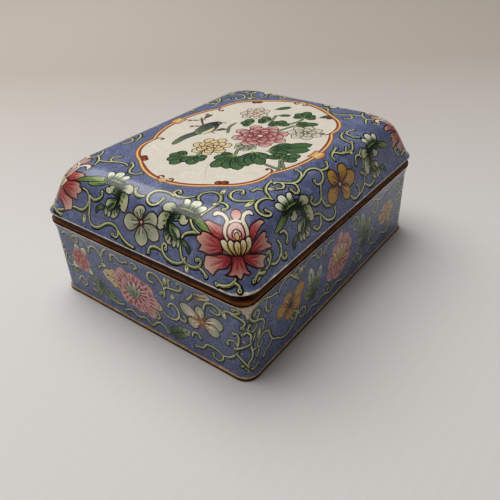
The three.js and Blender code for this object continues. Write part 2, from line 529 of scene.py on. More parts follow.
def join_ends(points, normals, faces, ends):
    """Joins the points that meet where a strip's two ends do, and drops the spare ones."""
    first_at = {}
    same = np.arange(len(points))
    for index in np.flatnonzero(ends):
        key = tuple(np.round(points[index], 4))
        same[index] = first_at.setdefault(key, index)
    faces = [tuple(same[list(face)]) for face in faces]
    used = np.unique(np.concatenate([np.array(face) for face in faces]))
    renumber = np.zeros(len(points), int)
    renumber[used] = np.arange(len(used))
    return points[used], normals[used], [tuple(renumber[list(face)]) for face in faces]


def skin(name, drawing, fold, coat, centre, spread, coarse, is_seam=None):
    """Folds a drawing round its solid as a closed coat of enamel, and keeps its colours as paint.

    spread gives each corner's place in the texture map. Where the drawing's two ends meet on
    the solid, is_seam is true, and they are joined there.
    """
    places, triangles, tone_of = drawing.cut()
    rim, loop = rim_of(triangles)
    inner_places, inner_faces, partner = hidden_side(places, loop, coarse)
    inward = -facing_out(fold, inner_places, centre)
    points = np.vstack([fold(places), fold(inner_places) + inward * coat])
    normals = np.vstack([facing_out(fold, places, centre), inward])
    all_places = np.vstack([places, inner_places])
    if is_seam:
        rim = [(a, b) for a, b in rim if not (is_seam(places[a]) and is_seam(places[b]))]
    count = len(places)
    faces = [tuple(face) for face in triangles]
    faces += [tuple(count + index for index in reversed(face)) for face in inner_faces]
    faces += [(b, a, count + partner[a], count + partner[b]) for a, b in rim]

    # The texture is laid out before the two ends are joined.
    texture = lay_texture(faces, all_places, len(triangles), spread)
    if is_seam:
        ends = np.array([is_seam(place) for place in all_places])
        points, normals, faces = join_ends(points, normals, faces, ends)

    mesh = bpy.data.meshes.new(name)
    mesh.from_pydata((points * MM).tolist(), [], [list(map(int, face)) for face in faces])
    paint = np.zeros((len(mesh.loops), 4))
    paint[:, :3] = LIP_PINK
    paint[:3 * len(triangles), :3] = drawing.colours(places, triangles, tone_of)
    paint[:3 * len(triangles), 3] = np.repeat(tone_of < drawing.ground_count, 3)
    layer = mesh.color_attributes.new("paint", "FLOAT_COLOR", "CORNER")
    layer.data.foreach_set("color", paint.ravel())
    uv = mesh.uv_layers.new(name="OFBake")
    uv.data.foreach_set("uv", texture.ravel())
    mesh.normals_split_custom_set_from_vertices(normals.tolist())
    piece = bpy.data.objects.new(name, mesh)
    bpy.context.collection.objects.link(piece)
    return piece


def spread_lid(places, middles, hidden):
    """Lays the lid's drawing out in the texture, with its hidden inner side small beside it."""
    margin, hidden_corner, hidden_size = 1, (0.88, 0.02), 0.1
    size = max(2 * LID_RING_X, 2 * LID_RING_Y) + 3 * margin
    laid = (places + [LID_RING_X + margin, LID_RING_Y + margin]) / size
    return np.where(hidden[:, None], hidden_corner + laid * hidden_size, laid)


def spread_base(places, middles, hidden):
    """Lays the base's strip out in four rows, one for each side, cut in the corners' middles."""
    margin, hidden_corner, hidden_size = 1, np.array((0.955, 0.02)), 0.04
    row_height = BASE_SLANT + 1.5 * margin
    side_ends = [HALF_WIDTH + QUARTER_TURN / 2, HALF_WIDTH + 2 * HALF_LENGTH + 1.5 * QUARTER_TURN]
    row = np.select([middles[:, 0] < -side_ends[0], middles[:, 0] < side_ends[0],
                     middles[:, 0] < side_ends[1]], [0, 1, 2], 3)
    starts = np.array([STRIP_START, -side_ends[0], side_ends[0], side_ends[1]])
    size = 4 * row_height + 3 * margin
    along = places[:, 0] - starts[row] + 2 * margin
    laid = np.stack([along, places[:, 1] + row * row_height + margin], 1) / size
    small = hidden_size * (places - [STRIP_START, 0]) / (STRIP_END - STRIP_START)
    return np.where(hidden[:, None], hidden_corner + small, laid)


_, _, ring_x, ring_y, ring_drawn = lid_ring_sizes(LID_SLANT)
LID_RING_X, LID_RING_Y = ring_x + ring_drawn, ring_y + ring_drawn


def net(across, along, step):
    """Loose points in a staggered net, a step apart, in a rectangle given by its two ranges."""
    row_step = 0.87 * step
    rows = np.arange(along[0] + step / 2, along[1], row_step)
    return [(x + (row % 2) * step / 2, y) for row, y in enumerate(rows)
            for x in np.arange(across[0] + step / 4, across[1] - step / 2, step)]


# Motifs, in millimetres on the drawing

def scrolls(drawing, stems, width=0.76, ink=0.38):
    """Draws cream stems that swell in their bends, with dark edges, joined where they meet.

    A stem is (points, where its buds are): "a" at its start, "z" at its end.
    """
    laid = []
    for points, buds in stems:
        path = smooth(points, step=0.9)
        swell = width * (0.45 + 0.55 * np.sin(np.linspace(0.1, pi - 0.1, len(path))) ** 0.8)
        laid.append((path, swell, [path[0]] * ("a" in buds) + [path[-1]] * ("z" in buds)))
    for path, swell, balls in laid:
        drawing.line(path + [0.12, -0.14], swell + 2 * ink, INK)
        for ball in balls:
            drawing.dot(ball + [0.08, -0.1], 0.6 + ink, INK)
    for path, swell, balls in laid:
        drawing.line(path, swell, drawing.shaded(path[0], path[-1] + 0.01, CREAM, PALE_SCROLL))
        shade = path - left_of(headings(path).T).T * swell[:, None] * 0.32
        drawing.line(shade[::2], swell[::2] * 0.36, OLIVE, ends=(0.1, 0.1))
        for ball in balls:
            drawing.dot(ball, 0.56, PALE_SCROLL)
            drawing.dot(ball + [0.06, -0.05], 0.24, INK)


def petal(drawing, outline, foot, tip, tones, ink, ink_width=0.36, streaks=5, rounded=True):
    """Draws a petal: its colours run from foot to tip, under fine brush streaks and an inked edge."""
    outline = smooth(outline, closed=True) if rounded else np.asarray(outline, float)
    drawing.fill(outline, drawing.shaded(foot, tip, *tones))
    foot = np.asarray(foot, float)
    reach = np.asarray(tip, float) - foot
    ahead = outline[(outline - foot) @ reach > 0.45 * reach @ reach]
    if len(ahead) > streaks > 0:
        for index, far in enumerate(ahead[:: max(1, len(ahead) // streaks)]):
            start = foot + 0.18 * (far - foot)
            end = foot + (0.82 if index % 2 else 0.7) * (far - foot)
            colours = [tuple(np.clip(np.array(tone) * (0.6 if index % 2 else 1.45), 0, 1))
                       for tone in tones]
            drawing.stroke(start, end, 0.42, drawing.shaded(foot, tip, *colours), (0.3, 0.1))
    drawing.line(outline, ink_width, ink, closed=True)


def round_petal(centre, angle, length, width, notch=0.0):
    """Outline of a plain petal: narrow at the centre, broad and round at its tip, maybe notched."""
    part = np.linspace(0, 1, 8) ** 0.8
    half = width / 2 * np.sin(pi * part ** 1.3) ** 0.62
    along = length * (0.1 + 0.9 * part)
    along[-1] -= notch
    x = np.concatenate([along, along[-2:0:-1]])
    y = np.concatenate([half, -half[-2:0:-1]])
    return turned(x, y, radians(angle), centre)


def blossom(drawing, centre, petals, tones, ink, eye, stamen):
    """Draws a flat blossom. A petal is (angle in degrees, length, width)."""
    centre = np.asarray(centre, float)
    for angle, length, width in petals:
        tip = centre + length * direction(radians(angle))
        petal(drawing, round_petal(centre, angle, length, width, 0.1), centre, tip, tones, ink, 0.44, 4)
    size = min(length for _, length, _ in petals)
    for step in range(14):
        end = centre + direction(step * pi / 7 + 0.1) * (size * (0.5, 0.7, 0.6)[step % 3])
        drawing.line([centre, end], 0.4, stamen, ends=(1, 0.6))
        drawing.dot(end, 0.24, stamen)
    drawing.dot(centre, size * 0.18, stamen)
    drawing.dot(centre, size * 0.09, eye)


def loose_flower(drawing, centre, petals, tones, ink):
    """Draws a full flower of long petals, with shorter ones over them, brushed light and dark."""
    centre = np.asarray(centre, float)
    shorter = [(angle + 17, 0.66 * length, 0.8 * width) for angle, length, width in petals]
    for angle, length, width in [*petals, *shorter]:
        heading = direction(radians(angle))
        across = left_of(heading) * width
        petal(drawing, round_petal(centre, angle, length, width, 0.25), centre + heading * length * 0.2,
              centre + heading * length, tones, ink, 0.2, 0)
        for step, aside in enumerate((-0.32, -0.16, 0, 0.16, 0.32)):
            start = centre + heading * length * (0.3 + 0.12 * (step % 2)) + across * aside * 0.5
            end = centre + heading * length * (0.94 - 0.16 * (step % 2)) + across * aside
            drawing.stroke(start, end, 0.6, tones[1 if step % 2 else -1], (0.2, 0.2))


def fan_petal(centre, angle, spread, inner, outer, frills, flat, turn):
    """Outline of a frilled petal, a wedge between two radii round a flower's centre."""
    sweep = np.linspace(-0.5, 0.5, 4 * frills + 1)
    frill = outer * (1 - 0.35 * np.abs(2 * sweep) ** 3) * (1 + 0.06 * np.cos(2 * pi * frills * sweep))
    angles = radians(angle) + radians(spread) * sweep
    rim = np.stack([frill * np.cos(angles), frill * np.sin(angles)], 1)
    root = [inner * direction(radians(angle + spread * side)) for side in (0.3, -0.3)]
    x, y = np.vstack([rim, root]).T
    return turned(x, y * flat, turn, centre)


def peony(drawing, centre, radius, tones, ink, rings, flat=1.0, turn=0.0, heart=None, frills=3,
          ink_width=0.3, streaks=3):
    """Draws a full flower: rings of frilled petals, the outer ones first, round its heart.

    A ring is (number of petals, its share of the flower's radius).
    """
    centre = np.asarray(centre, float)
    for ring, (count, share) in enumerate(rings):
        for index in range(count):
            angle = 360 / count * (index + ring * 0.5)
            outline = fan_petal(centre, angle, 400 / count, radius * 0.12, radius * share, frills,
                                flat, turn)
            tip = outline[2 * frills]
            foot = centre + (tip - centre) * 0.3
            petal(drawing, outline, foot, tip, tones, ink, ink_width, streaks, rounded=False)
    if heart is not None:
        for step in range(9):
            spot = centre + radius * 0.05 * step ** 0.8 * direction(step * 2.4) * [1, flat]
            drawing.dot(spot, radius * 0.075, ink)
            drawing.dot(spot, radius * 0.055, heart)


def lobed_leaf(drawing, foot, tip, width, tones, ink, lobes=3):
    """Draws a lobed leaf from its foot to its tip, with a midrib and side veins."""
    foot, tip = np.asarray(foot, float), np.asarray(tip, float)
    axis = tip - foot
    across = left_of(axis) / np.linalg.norm(axis) * width / 2
    part = np.linspace(0, 1, 6 * lobes + 1)
    envelope = np.sin(pi * part ** 0.7) ** 0.6
    scallop = envelope * (0.78 + 0.22 * np.abs(np.sin(pi * lobes * part)))
    left = foot + part[:, None] * axis + scallop[:, None] * across
    right = foot + part[:, None] * axis - scallop[:, None] * across
    outline = np.vstack([left, right[-2:0:-1]])
    drawing.fill(outline, drawing.shaded(foot, tip, *tones))
    for side in (across, -across):
        for share in (np.arange(lobes) + 0.35) / lobes:
            start = foot + axis * share * 0.9
            end = start + axis * 0.16 + side * 0.72 * sin(pi * (share * 0.9 + 0.08) ** 0.7)
            drawing.stroke(start, end, 0.26, ink, (1, 0.1), axis * 0.02)
    drawing.line([foot, foot + axis * 0.5, foot + axis * 0.93], 0.34, ink, ends=(1, 0.1))
    drawing.line(outline, 0.24, ink, closed=True)


def lotus(drawing):
    """Draws the big corner lotus. Across is the distance round the corner, up is the run."""
    for outline, foot, tip in LOTUS_PETALS:
        petal(drawing, outline, foot, tip, (CRIMSON, ROSE, PALE_ROSE), MAROON, 0.42, streaks=6)
    for horn in LOTUS_HORNS:
        path = smooth(horn, step=0.6)
        drawing.line(path, 1.45, MAROON, ends=(1, 0.7))
        drawing.line(path, 0.85, drawing.shaded(horn[0], horn[-1], SHELL, CREAM_WHITE), ends=(1, 0.5))
    bud = smooth([(-2.2, 12.8), (-2.3, 14.4), (-1.3, 15.8), (0, 16.2), (1.2, 15.7), (1.9, 14.3),
                  (1.8, 12.6), (0, 12)], closed=True)
    petal(drawing, bud, (0, 12.5), (0, 16), (ROSE, SHELL_PINK, SHELL_PINK), MAROON, 0.4, 4, False)
    drawing.line(smooth([(-1.1, 12.8), (-1.2, 13.9), (-0.1, 14.6), (1, 13.8), (0.9, 12.7)]), 0.35, MAROON)
    drawing.dot((0.5, 17.7), 1.55, MAROON)
    drawing.dot((0.5, 17.7), 1.2, drawing.shaded((0.6, 16.4), (0.4, 18.8), SHELL_PINK, ROSE_BALL))
    drawing.line(smooth([(-1.3, 16.1), (0, 16.45), (1.4, 16)]), 0.5, CREAM_WHITE)
    for foot_x, middle_x, top_x, top_w, width in LOTUS_CUP:
        outline = smooth([(foot_x, 8.9), (middle_x - width / 2, 10.3), (top_x - width / 2, top_w - 0.5),
                          (top_x, top_w), (top_x + width / 2, top_w - 0.6),
                          (middle_x + width / 2, 10.2)], closed=True)
        petal(drawing, outline, (foot_x, 8.9), (top_x, top_w), (DEEP_OCHRE, OCHRE_LIGHT, CREAM_WHITE),
              MAROON, 0.34, 2, False)
    drawing.dot((-0.1, 13.1), 0.95, MAROON, 0.68, pi / 2)
    drawing.dot((-0.1, 13.1), 0.72, OCHRE_LIGHT, 0.62, pi / 2)


def acanthus(drawing):
    """Draws the curling leaf beside a lotus, its pale ruffled lobes spread round a dark green back."""
    back = smooth(LEAF_BACK, closed=True)
    lobes = [(smooth(outline, closed=True), np.array(foot), np.array(tip), pale)
             for outline, foot, tip, pale in LEAF_LOBES]
    for outline in [back] + [lobe[0] for lobe in lobes]:
        drawing.line(outline, 0.62, INK, closed=True)
    drawing.fill(back, drawing.shaded((25, -46), (15, -44), LEAF_LIGHT, LEAF, DEEP_LEAF))
    for outline, foot, tip, pale in lobes:
        drawing.fill(outline, drawing.shaded(foot, tip, LEAF, LEAF_GREY, pale, pale))
    for outline, foot, tip, _ in lobes:
        drawing.line(outline, 0.22, INK, closed=True)
        reach = tip - foot
        across = left_of(reach) * 0.2
        for side, share in ((-1, 0.5), (1, 0.56)):
            start = foot - reach * 0.1
            drawing.line([start, start + reach * share * 0.6 + side * across * 0.8,
                          start + reach * share + side * across], 0.24, DEEP_LEAF, ends=(1, 0.1))
    drawing.line(smooth(LEAF_SPINE), 0.7, INK, ends=(0.2, 0.3))
    for foot, tip in np.array(LEAF_VEINS):
        drawing.stroke(foot, tip, 0.32, INK, (1, 0.1), [0.1, 0.12])
    spine = smooth(LEAF_SPINE, step=1.05)
    for place, ahead in zip(spine[2:-2], headings(spine)[2:-2]):
        for aside in (-2.1, 1.3):
            end = place + left_of(ahead) * aside + ahead * 0.8
            drawing.stroke(place, end, 0.4, INK, (1, 0.1), ahead * 0.14)
    for path in LEAF_LIGHTS:
        drawing.line(smooth(path), 0.34, LEAF_LIGHT, ends=(0.3, 0.2))
    for spot in ((15.2, -45.6), (17.6, -44.9)):
        drawing.dot(spot, 0.4, INK, 1.3)


# Outlines of the corner lotus, in ring coordinates: distance round the corner, run up from the lip
LOTUS_PETALS = (
    ([(-2.9, 13.2), (-2.8, 14.5), (-3.4, 15.2), (-4.7, 15.5), (-5.9, 15.7), (-7.2, 15.8),
      (-8.1, 15.4), (-8.9, 14.9), (-8.1, 14.6), (-7.5, 13.6), (-6.6, 12.9), (-4.8, 12.1),
      (-3.6, 12.6)], (-3.5, 13), (-8.2, 15.2)),
    ([(2.9, 12.3), (3, 13.4), (3.6, 14.5), (4.6, 14.9), (6.1, 15), (7.5, 14.7), (8.7, 13.6),
      (7.2, 13.4), (6.1, 12.9), (4.9, 12.1), (3.7, 11.4)], (3.3, 12.2), (8, 13.9)),
    ([(-4.4, 12), (-6.3, 12.6), (-8.1, 12.9), (-10, 12.7), (-10.4, 12), (-11.9, 11.3),
      (-12.3, 10.5), (-11.6, 9.6), (-10.9, 9.4), (-11.6, 8.5), (-12.2, 7.6), (-10.7, 7.8),
      (-8.9, 7.7), (-7.2, 8.2), (-5.4, 9.1), (-4.2, 9.4)], (-4, 10.6), (-12, 10)),
    ([(2.8, 9.9), (4.6, 11.3), (6.4, 11.9), (8.1, 11.9), (9, 11.1), (8.4, 10.3), (9.9, 9.9),
      (8.8, 9.2), (9.9, 8.5), (10.8, 7.1), (8.1, 7.7), (6.1, 7.9), (4.3, 8.6), (2.8, 9.1)],
     (2.8, 9.6), (10, 9.4)),
    ([(-4.4, 9.1), (-7.2, 7.9), (-9.7, 7.3), (-10.4, 6.1), (-10.9, 4.6), (-10.6, 3.8),
      (-9.7, 3.6), (-8.9, 3.2), (-8.1, 3), (-7.2, 4.1), (-5.7, 5.2), (-3.9, 5.8), (-3.1, 6.4),
      (-2, 7.9), (-2.2, 8.8)], (-2.6, 8.4), (-10, 4.2)),
    ([(0.6, 8.5), (1.6, 9.1), (3.4, 8.6), (5.2, 7.9), (7.2, 7), (8.3, 6), (7.1, 5.5), (7.2, 4.4),
      (7.8, 3.8), (6.6, 4.1), (4.6, 4.9), (2.8, 6), (1.5, 7)], (1, 8.3), (7.8, 4.8)),
    ([(-1.9, 8.8), (-2, 7.6), (-2.6, 5.5), (-3.6, 4.6), (-4.3, 4.3), (-3.1, 4.3), (-2.2, 4.35),
      (-1.3, 4.6), (-0.9, 4), (-0.3, 3.6), (0.3, 4.3), (0.6, 4.9), (1.4, 4.4), (2.5, 4.5),
      (1.6, 5.5), (1.1, 7.3), (0.6, 8.8)], (-0.5, 8.6), (-0.6, 3.9)),
)
LOTUS_HORNS = (
    [(-2.3, 12.4), (-2.9, 13.6), (-2.6, 15), (-1.9, 16.1), (-2.1, 17.2), (-3, 18), (-4.2, 18.1),
     (-5.2, 17.4)],
    [(2.3, 12.4), (2.6, 13.6), (2.3, 15), (1.9, 16.1), (2.2, 17), (3, 17.6), (4.1, 17.5), (4.9, 16.8)],
)
# Foot, middle and top across, top's run, and width of each of the lotus cup's petals
LOTUS_CUP = ((-1.6, -2.9, -3.5, 12.5, 1.9), (1.2, 2.4, 2.6, 12.7, 1.5), (-0.7, -1.5, -1.8, 12.5, 1.5),
             (0.6, 1.1, 1.2, 12.4, 1.4), (-0.1, -0.3, -0.3, 12.2, 1.5))

# Outlines of the curling leaf, as it lies on the front of the lid beside the nearest lotus
LEAF_BACK = [(25.9, -46.1), (23, -44.4), (20.8, -43.5), (18.5, -42.2), (15.5, -41.8), (12.8, -42.7),
             (11, -44.3), (10.3, -46.5), (10.8, -49), (12.2, -51.6), (14, -52.6), (16, -52.2),
             (17.1, -50.6), (15.9, -49.2), (14.2, -48.3), (13.5, -47), (14.5, -45.6), (16.5, -44.7),
             (18.5, -44.4), (20.5, -45.3), (23.4, -46.3)]
LEAF_LOBES = [
    ([(13.3, -40.1), (14.4, -39.5), (15.5, -40.2), (16, -41.5), (15.6, -42.9), (14.6, -42.9),
      (13.9, -41.2)], (15.2, -43), (13.8, -39.7), WHITE_LOBE),
    ([(19, -40.7), (19.8, -40.1), (20.9, -40.2), (21.3, -41), (20.7, -42.2), (19.7, -43.1),
      (18.8, -42.9), (18.6, -41.6)], (19, -43.2), (20.8, -40.2), WHITE_LOBE),
    ([(16, -40.4), (16.2, -39.4), (17.2, -38.8), (18.5, -39.2), (18.9, -40.3), (18.3, -41.6),
      (17.6, -43), (16.5, -43)], (17.2, -43), (17.5, -39), WHITE_LOBE),
    ([(12.8, -43.3), (11.6, -42.3), (10, -42.5), (8.9, -43.4), (8.8, -44.6), (9.7, -45.2),
      (11.2, -45), (12.6, -44.6)], (13.2, -44.4), (9.4, -43.6), PALE_LOBE),
    ([(12.4, -45.5), (10.8, -45.2), (9.4, -45.6), (8.7, -47), (8.5, -48.6), (9, -50),
      (10, -50.3), (10.9, -49.7), (11.5, -48.2), (12.4, -46.8)], (12.8, -46), (9.3, -48.8), PALE_LOBE),
    ([(14.4, -44.9), (15.9, -44.4), (17.1, -44.6), (18.2, -45.2), (18.3, -46.2), (17.4, -46.9),
      (16.2, -46.9), (15.3, -46.3), (14.3, -46.7), (13.5, -46)], (14.2, -45.2), (17.5, -46.2),
     PALE_LOBE),
    ([(12, -50), (11.3, -50.6), (11.8, -51.9), (13, -53.1), (14.2, -53.2), (14.5, -52.4),
      (14, -51), (13.2, -50)], (12.8, -49.8), (13.6, -53.2), PALE_LOBE),
    ([(14.4, -51), (14.7, -52.6), (15.2, -53.5), (15.9, -53.1), (15.9, -51.8), (15.5, -50.6)],
     (15, -50.4), (15.3, -53.3), PALE_LOBE),
    ([(16, -50.9), (16.1, -52.3), (16.7, -53.3), (17.2, -52.4), (17.2, -51)], (16.6, -50.6),
     (16.7, -53.2), PALE_LOBE),
    ([(13.4, -47.6), (14.9, -47.9), (16.4, -48.5), (17, -50), (16.5, -51), (15.7, -50),
      (14.6, -49.2), (13.5, -48.8)], (13.4, -48.2), (16.7, -50.4), PALE_LOBE),
    ([(17.6, -50.9), (18.6, -50.6), (20, -51.4), (20.9, -52.3), (20.6, -53.6), (19.9, -53),
      (19.4, -52.2), (18.2, -51.8)], (17.6, -51.2), (20.6, -53.2), DEEP_LEAF),
]
LEAF_SPINE = [(22.5, -45), (18.7, -43.5), (15.2, -43.5), (12.9, -45.3), (12.4, -48), (13.5, -50.6),
              (15.6, -51.7)]
LEAF_VEINS = [((13.6, -44.2), (10.8, -43.8)), ((12.9, -45.4), (10.2, -46.2)),
              ((12.6, -46.4), (9.9, -48.5)), ((12.5, -47.8), (10.8, -49.8)),
              ((15, -43.6), (14.2, -41)), ((16.2, -43.6), (16, -41)), ((17.3, -43.5), (17.5, -40.9)),
              ((18.4, -43.5), (19.3, -41.3)), ((19.5, -43.8), (20.6, -42.4)),
              ((12.6, -49), (11.7, -51)), ((13.2, -50), (13.2, -52.4)), ((14, -50.8), (14.9, -52.8)),
              ((13.4, -46.4), (14.6, -45.9)), ((15, -44.2), (15.3, -45.7)),
              ((16.6, -44.2), (17.1, -45.4)), ((21.5, -44.9), (24.6, -45.8))]
LEAF_LIGHTS = [[(20, -44.2), (22.4, -45), (24.6, -45.7)], [(13, -47.8), (13.6, -49.6), (15, -50.9)],
               [(14, -43), (16.4, -42.8), (18.6, -43)], [(11.8, -45.4), (11.4, -47.2), (11.8, -49)]]


def mirrored(x=1, y=1, shift=(0, 0)):
    """A placing that turns a motif over, or half round, and shifts it."""
    return lambda points: points * [x, y] + shift


def round_corner(side_x, side_y):
    """A placing that takes ring coordinates to a corner of the lid's drawing."""
    def place(points):
        across, run = points.T
        _, radius, centre_x, centre_y, drawn = lid_ring_sizes(LID_SLANT - run)
        eighth = radius * pi / 4
        angle = np.clip(across, -eighth, eighth) / radius - pi / 4
        past = np.maximum(across - eighth, 0)
        short = np.maximum(-eighth - across, 0)
        x = centre_x + drawn * np.cos(angle) - short
        y = -centre_y + drawn * np.sin(angle) + past
        return np.stack([x * side_x, -y * side_y], 1)
    return place


# Layout of the lid. The front's motifs are turned half round for the back, and the right's for the
# left. Points are across and along, from the middle of the top.

FRONT_STEMS = [
    ([(7.3, -42.3), (6.7, -44), (4.9, -44.9), (3, -44.2), (2.4, -42.5), (3.4, -40.7), (5.6, -39.9),
      (7.8, -39.8), (9.6, -40.3)], "a"),
    ([(10, -38.3), (9.2, -37.2), (8.2, -38.3), (8.9, -39.6), (11, -40), (13.2, -39.2), (14.6, -37.6)],
     "a"),
    ([(20.9, -43), (21.8, -40.5), (22.2, -37.6), (21.2, -34.9), (19, -33.1), (16.6, -33.3),
      (15.1, -35.4), (15.7, -37.7), (17.2, -38.8)], ""),
    ([(22.3, -36.5), (23.9, -36.5), (25.3, -37.4), (25, -38.6)], "z"),
    ([(24.1, -29.7), (23.4, -28.3), (21.8, -28.7), (21.2, -30.7), (22.3, -32.8), (24.7, -33.7),
      (27, -32.6), (28.8, -30.6)], "a"),
    ([(33.1, -31.4), (34.5, -30.7), (34.3, -32.5), (32.5, -33.7), (30.5, -32.6), (29.8, -30),
      (30.4, -27.8), (31.8, -26.8)], "a"),
    ([(25.4, -27), (25.8, -25.6), (27.3, -25.3)], "a"),
    ([(26.2, -19.5), (26.8, -22.8), (28.6, -25.6), (31.2, -26.9)], ""),
    ([(6.7, -57.6), (7.1, -56.2), (9, -55.4), (11.6, -55.7)], "a"),
    ([(12.7, -54.7), (12.8, -53.6), (11.6, -53.6), (11.3, -55), (12.5, -56.6), (14.6, -57.4),
      (17, -57.3), (18.9, -56.2), (19.7, -54.7)], "a"),
    ([(17.4, -51), (17.6, -53.4), (18.9, -55.7), (21.4, -56.5), (23.8, -56), (24.8, -54.6),
      (24.2, -53.6), (23.4, -54.1)], "z"),
    ([(24.6, -55.9), (26, -56.5), (27, -57.3)], "z"),
    ([(17.6, -50.2), (18.3, -48.9), (20, -48), (21.8, -47.5), (23.6, -47.6)], ""),
    ([(18.5, -44.6), (19.6, -46), (21.2, -47), (23.4, -47.5)], ""),
    ([(-18, -55.6), (-16.8, -57), (-14.8, -57.3), (-12.8, -56.4), (-10.8, -55), (-8.6, -54.3),
      (-6.4, -54.8), (-5.4, -56.4), (-6.3, -57.7), (-7.6, -57.2)], "z"),
    ([(-5.6, -55.4), (-3.8, -56.9), (-1.6, -57.9), (1.4, -58.2)], ""),
    ([(-2.9, -42.2), (-2.1, -43.6), (-0.4, -43.9), (1.3, -43.3)], "a"),
    ([(-28, -55), (-25, -54), (-21.6, -54), (-19.4, -52.4), (-18.5, -50), (-19.6, -48),
      (-22, -47.4)], ""),
    ([(-18.4, -48.8), (-16.6, -49.6), (-14.6, -48.8), (-13.4, -47.6), (-13.8, -46.6)], "z"),
    ([(-33, -57), (-30.4, -56.4), (-28.6, -55.2), (-28, -53.4), (-29, -52.2), (-30.2, -53)], "z"),
    ([(-18.4, -48.6), (-18.2, -52), (-18.2, -54.6), (-17.4, -56.4)], ""),
    ([(-14.8, -32.4), (-13, -33.6), (-12, -36), (-10.2, -37.4), (-8, -36.9), (-7.4, -35.8)], "az"),
    ([(-25, -36.6), (-22, -36), (-19, -34.4), (-16.4, -33.8), (-14.4, -34.4)], ""),
    ([(-21, -31.2), (-22.6, -32.6), (-22, -34.4), (-20, -35)], "a"),
    ([(-29, -31), (-27.6, -33.6), (-28.6, -36), (-31, -36.4), (-32, -34.6), (-30.8, -33.4)], "z"),
    ([(-27.4, -34.4), (-25, -36.4), (-23.4, -39.4)], ""),
]
FRONT_BUDS = [((19.6, -33.2), (18.9, -30.6)), ((28.9, -31.4), (28.6, -34.8)),
              ((-20, -54.6), (-20.1, -57.6)), ((20.2, -56.4), (20.9, -58.4)),
              ((22.4, -37), (21.2, -38.6))]
RIGHT_STEMS = [
    ([(27.8, -21), (28, -19.6), (29.8, -19.4), (30.7, -20.8), (29.7, -22.4)], "z"),
    ([(30.6, -17.6), (32, -16.5), (34, -17.4), (33.9, -19.1), (32.5, -19.3)], "z"),
    ([(28.4, -10.5), (30.2, -11), (31.4, -13.4), (31.4, -16), (30, -18.2), (27.8, -19.6),
      (26.3, -20.6)], "a"),
    ([(34.4, -9.7), (35.5, -9.8), (36, -8), (35.2, -5.8), (33, -4.6), (31, -6), (30.4, -8.5),
      (31.1, -11.2), (31.6, -13.6)], "a"),
    ([(32, 0), (33.3, -1.1), (33.3, -3.2), (32.9, -4.7)], "a"),
    ([(36, -8.2), (37.6, -9.5), (39.3, -10.3), (40.1, -11.6), (39.8, -14), (38.3, -15.2),
      (37.6, -14.3)], "z"),
    ([(39.2, -10.3), (41.2, -9.8), (42.8, -8.6), (43, -7)], "z"),
    ([(44.8, -5.2), (46.3, -5.6), (47, -7.6), (46, -10.4), (44, -12), (42.7, -13.4), (42.2, -15.6)],
     "a"),
    ([(43.8, -12.8), (45.9, -13.8), (46.4, -16), (45.2, -17)], "z"),
    ([(30, 9), (30.6, 6), (31.5, 4), (33.2, 3.5)], "a"),
    ([(30.6, 6), (32.6, 8.2), (32.9, 10.4), (31.6, 12.4)], ""),
    ([(31.5, 16.4), (33.4, 13.6), (33.4, 11), (32.2, 9)], "a"),
    ([(26.4, 19.6), (27, 17.4), (29, 15.4), (31.6, 15.6)], "a"),
    ([(28, 24), (27, 21.6), (28, 19.6), (30.4, 19.4), (31.4, 21)], "az"),
    ([(41, -32.8), (43, -32.2), (45.3, -33.1), (46.7, -32.4), (46.6, -31.1), (45.7, -31.2)], "z"),
    ([(44.8, -33), (45.9, -35), (45.6, -37), (44, -38.2), (42.6, -37.5), (43, -36.4)], "z"),
    ([(45, -37.8), (45.4, -40), (46, -42.6), (46.3, -45), (45.7, -47.3)], ""),
    ([(44.6, 4), (46.6, 5.4), (47, 8), (45.4, 9.8), (43.6, 9)], "z"),
    ([(46.8, 8.2), (46.4, 11.4), (44.6, 13.6), (42.4, 14.4), (41.2, 13)], "z"),
    ([(45, 13.4), (46.8, 15.8), (46.6, 19), (45, 21)], ""),
    ([(37.8, 11.4), (36, 12.6), (36.2, 14.8), (38.4, 15.6), (40.4, 14.4)], "a"),
    ([(36.3, 14.6), (35.2, 17), (35.8, 19)], ""),
    ([(40, -31), (40.2, -29.4), (41.8, -28.6), (43.2, -29.4)], "z"),
]
RIGHT_BUDS = [((29.4, -22.8), (28.2, -24.2)), ((42.9, 14.4), (42, 17.2)), ((33, 11.6), (34.6, 12.4))]
CORNER_STEMS = [
    ([(-7.4, 1.3), (-5.2, 1.5), (-3, 2.3), (-1.8, 3.4), (-1.6, 4)], "a"),
    ([(-1.9, 3), (-1, 2.2), (-0.9, 1.2)], "z"),
    ([(3, 2.6), (4.4, 3.6), (5.6, 4.4)], "a"),
    ([(4.6, 3.8), (6.2, 3), (7.6, 2.8)], ""),
    ([(9, 3.4), (10, 5), (9.6, 6.6), (8.4, 6.4)], "z"),
]
FRONT_PETALS = [(116, 4.8, 4.4), (195, 7, 5), (24, 6.3, 4.5), (-22, 7.6, 4.4), (-82, 6.8, 5)]
RIGHT_PETALS = [(88, 9, 5), (132, 7, 4.4), (217, 6.4, 4.8), (-74, 8.2, 4.8), (34, 6.6, 4.6)]


def curl(x, y, radius, start, sweep):
    """Points that wind in round a middle: radius is the outer one, angles are in degrees."""
    degrees_a_point = 50
    part = np.linspace(0, 1, max(5, int(abs(sweep) / degrees_a_point)))
    angle = np.radians(start + sweep * part)
    reach = radius * (1 - 0.5 * part)
    return list(zip(x + reach * np.cos(angle), y + reach * np.sin(angle)))


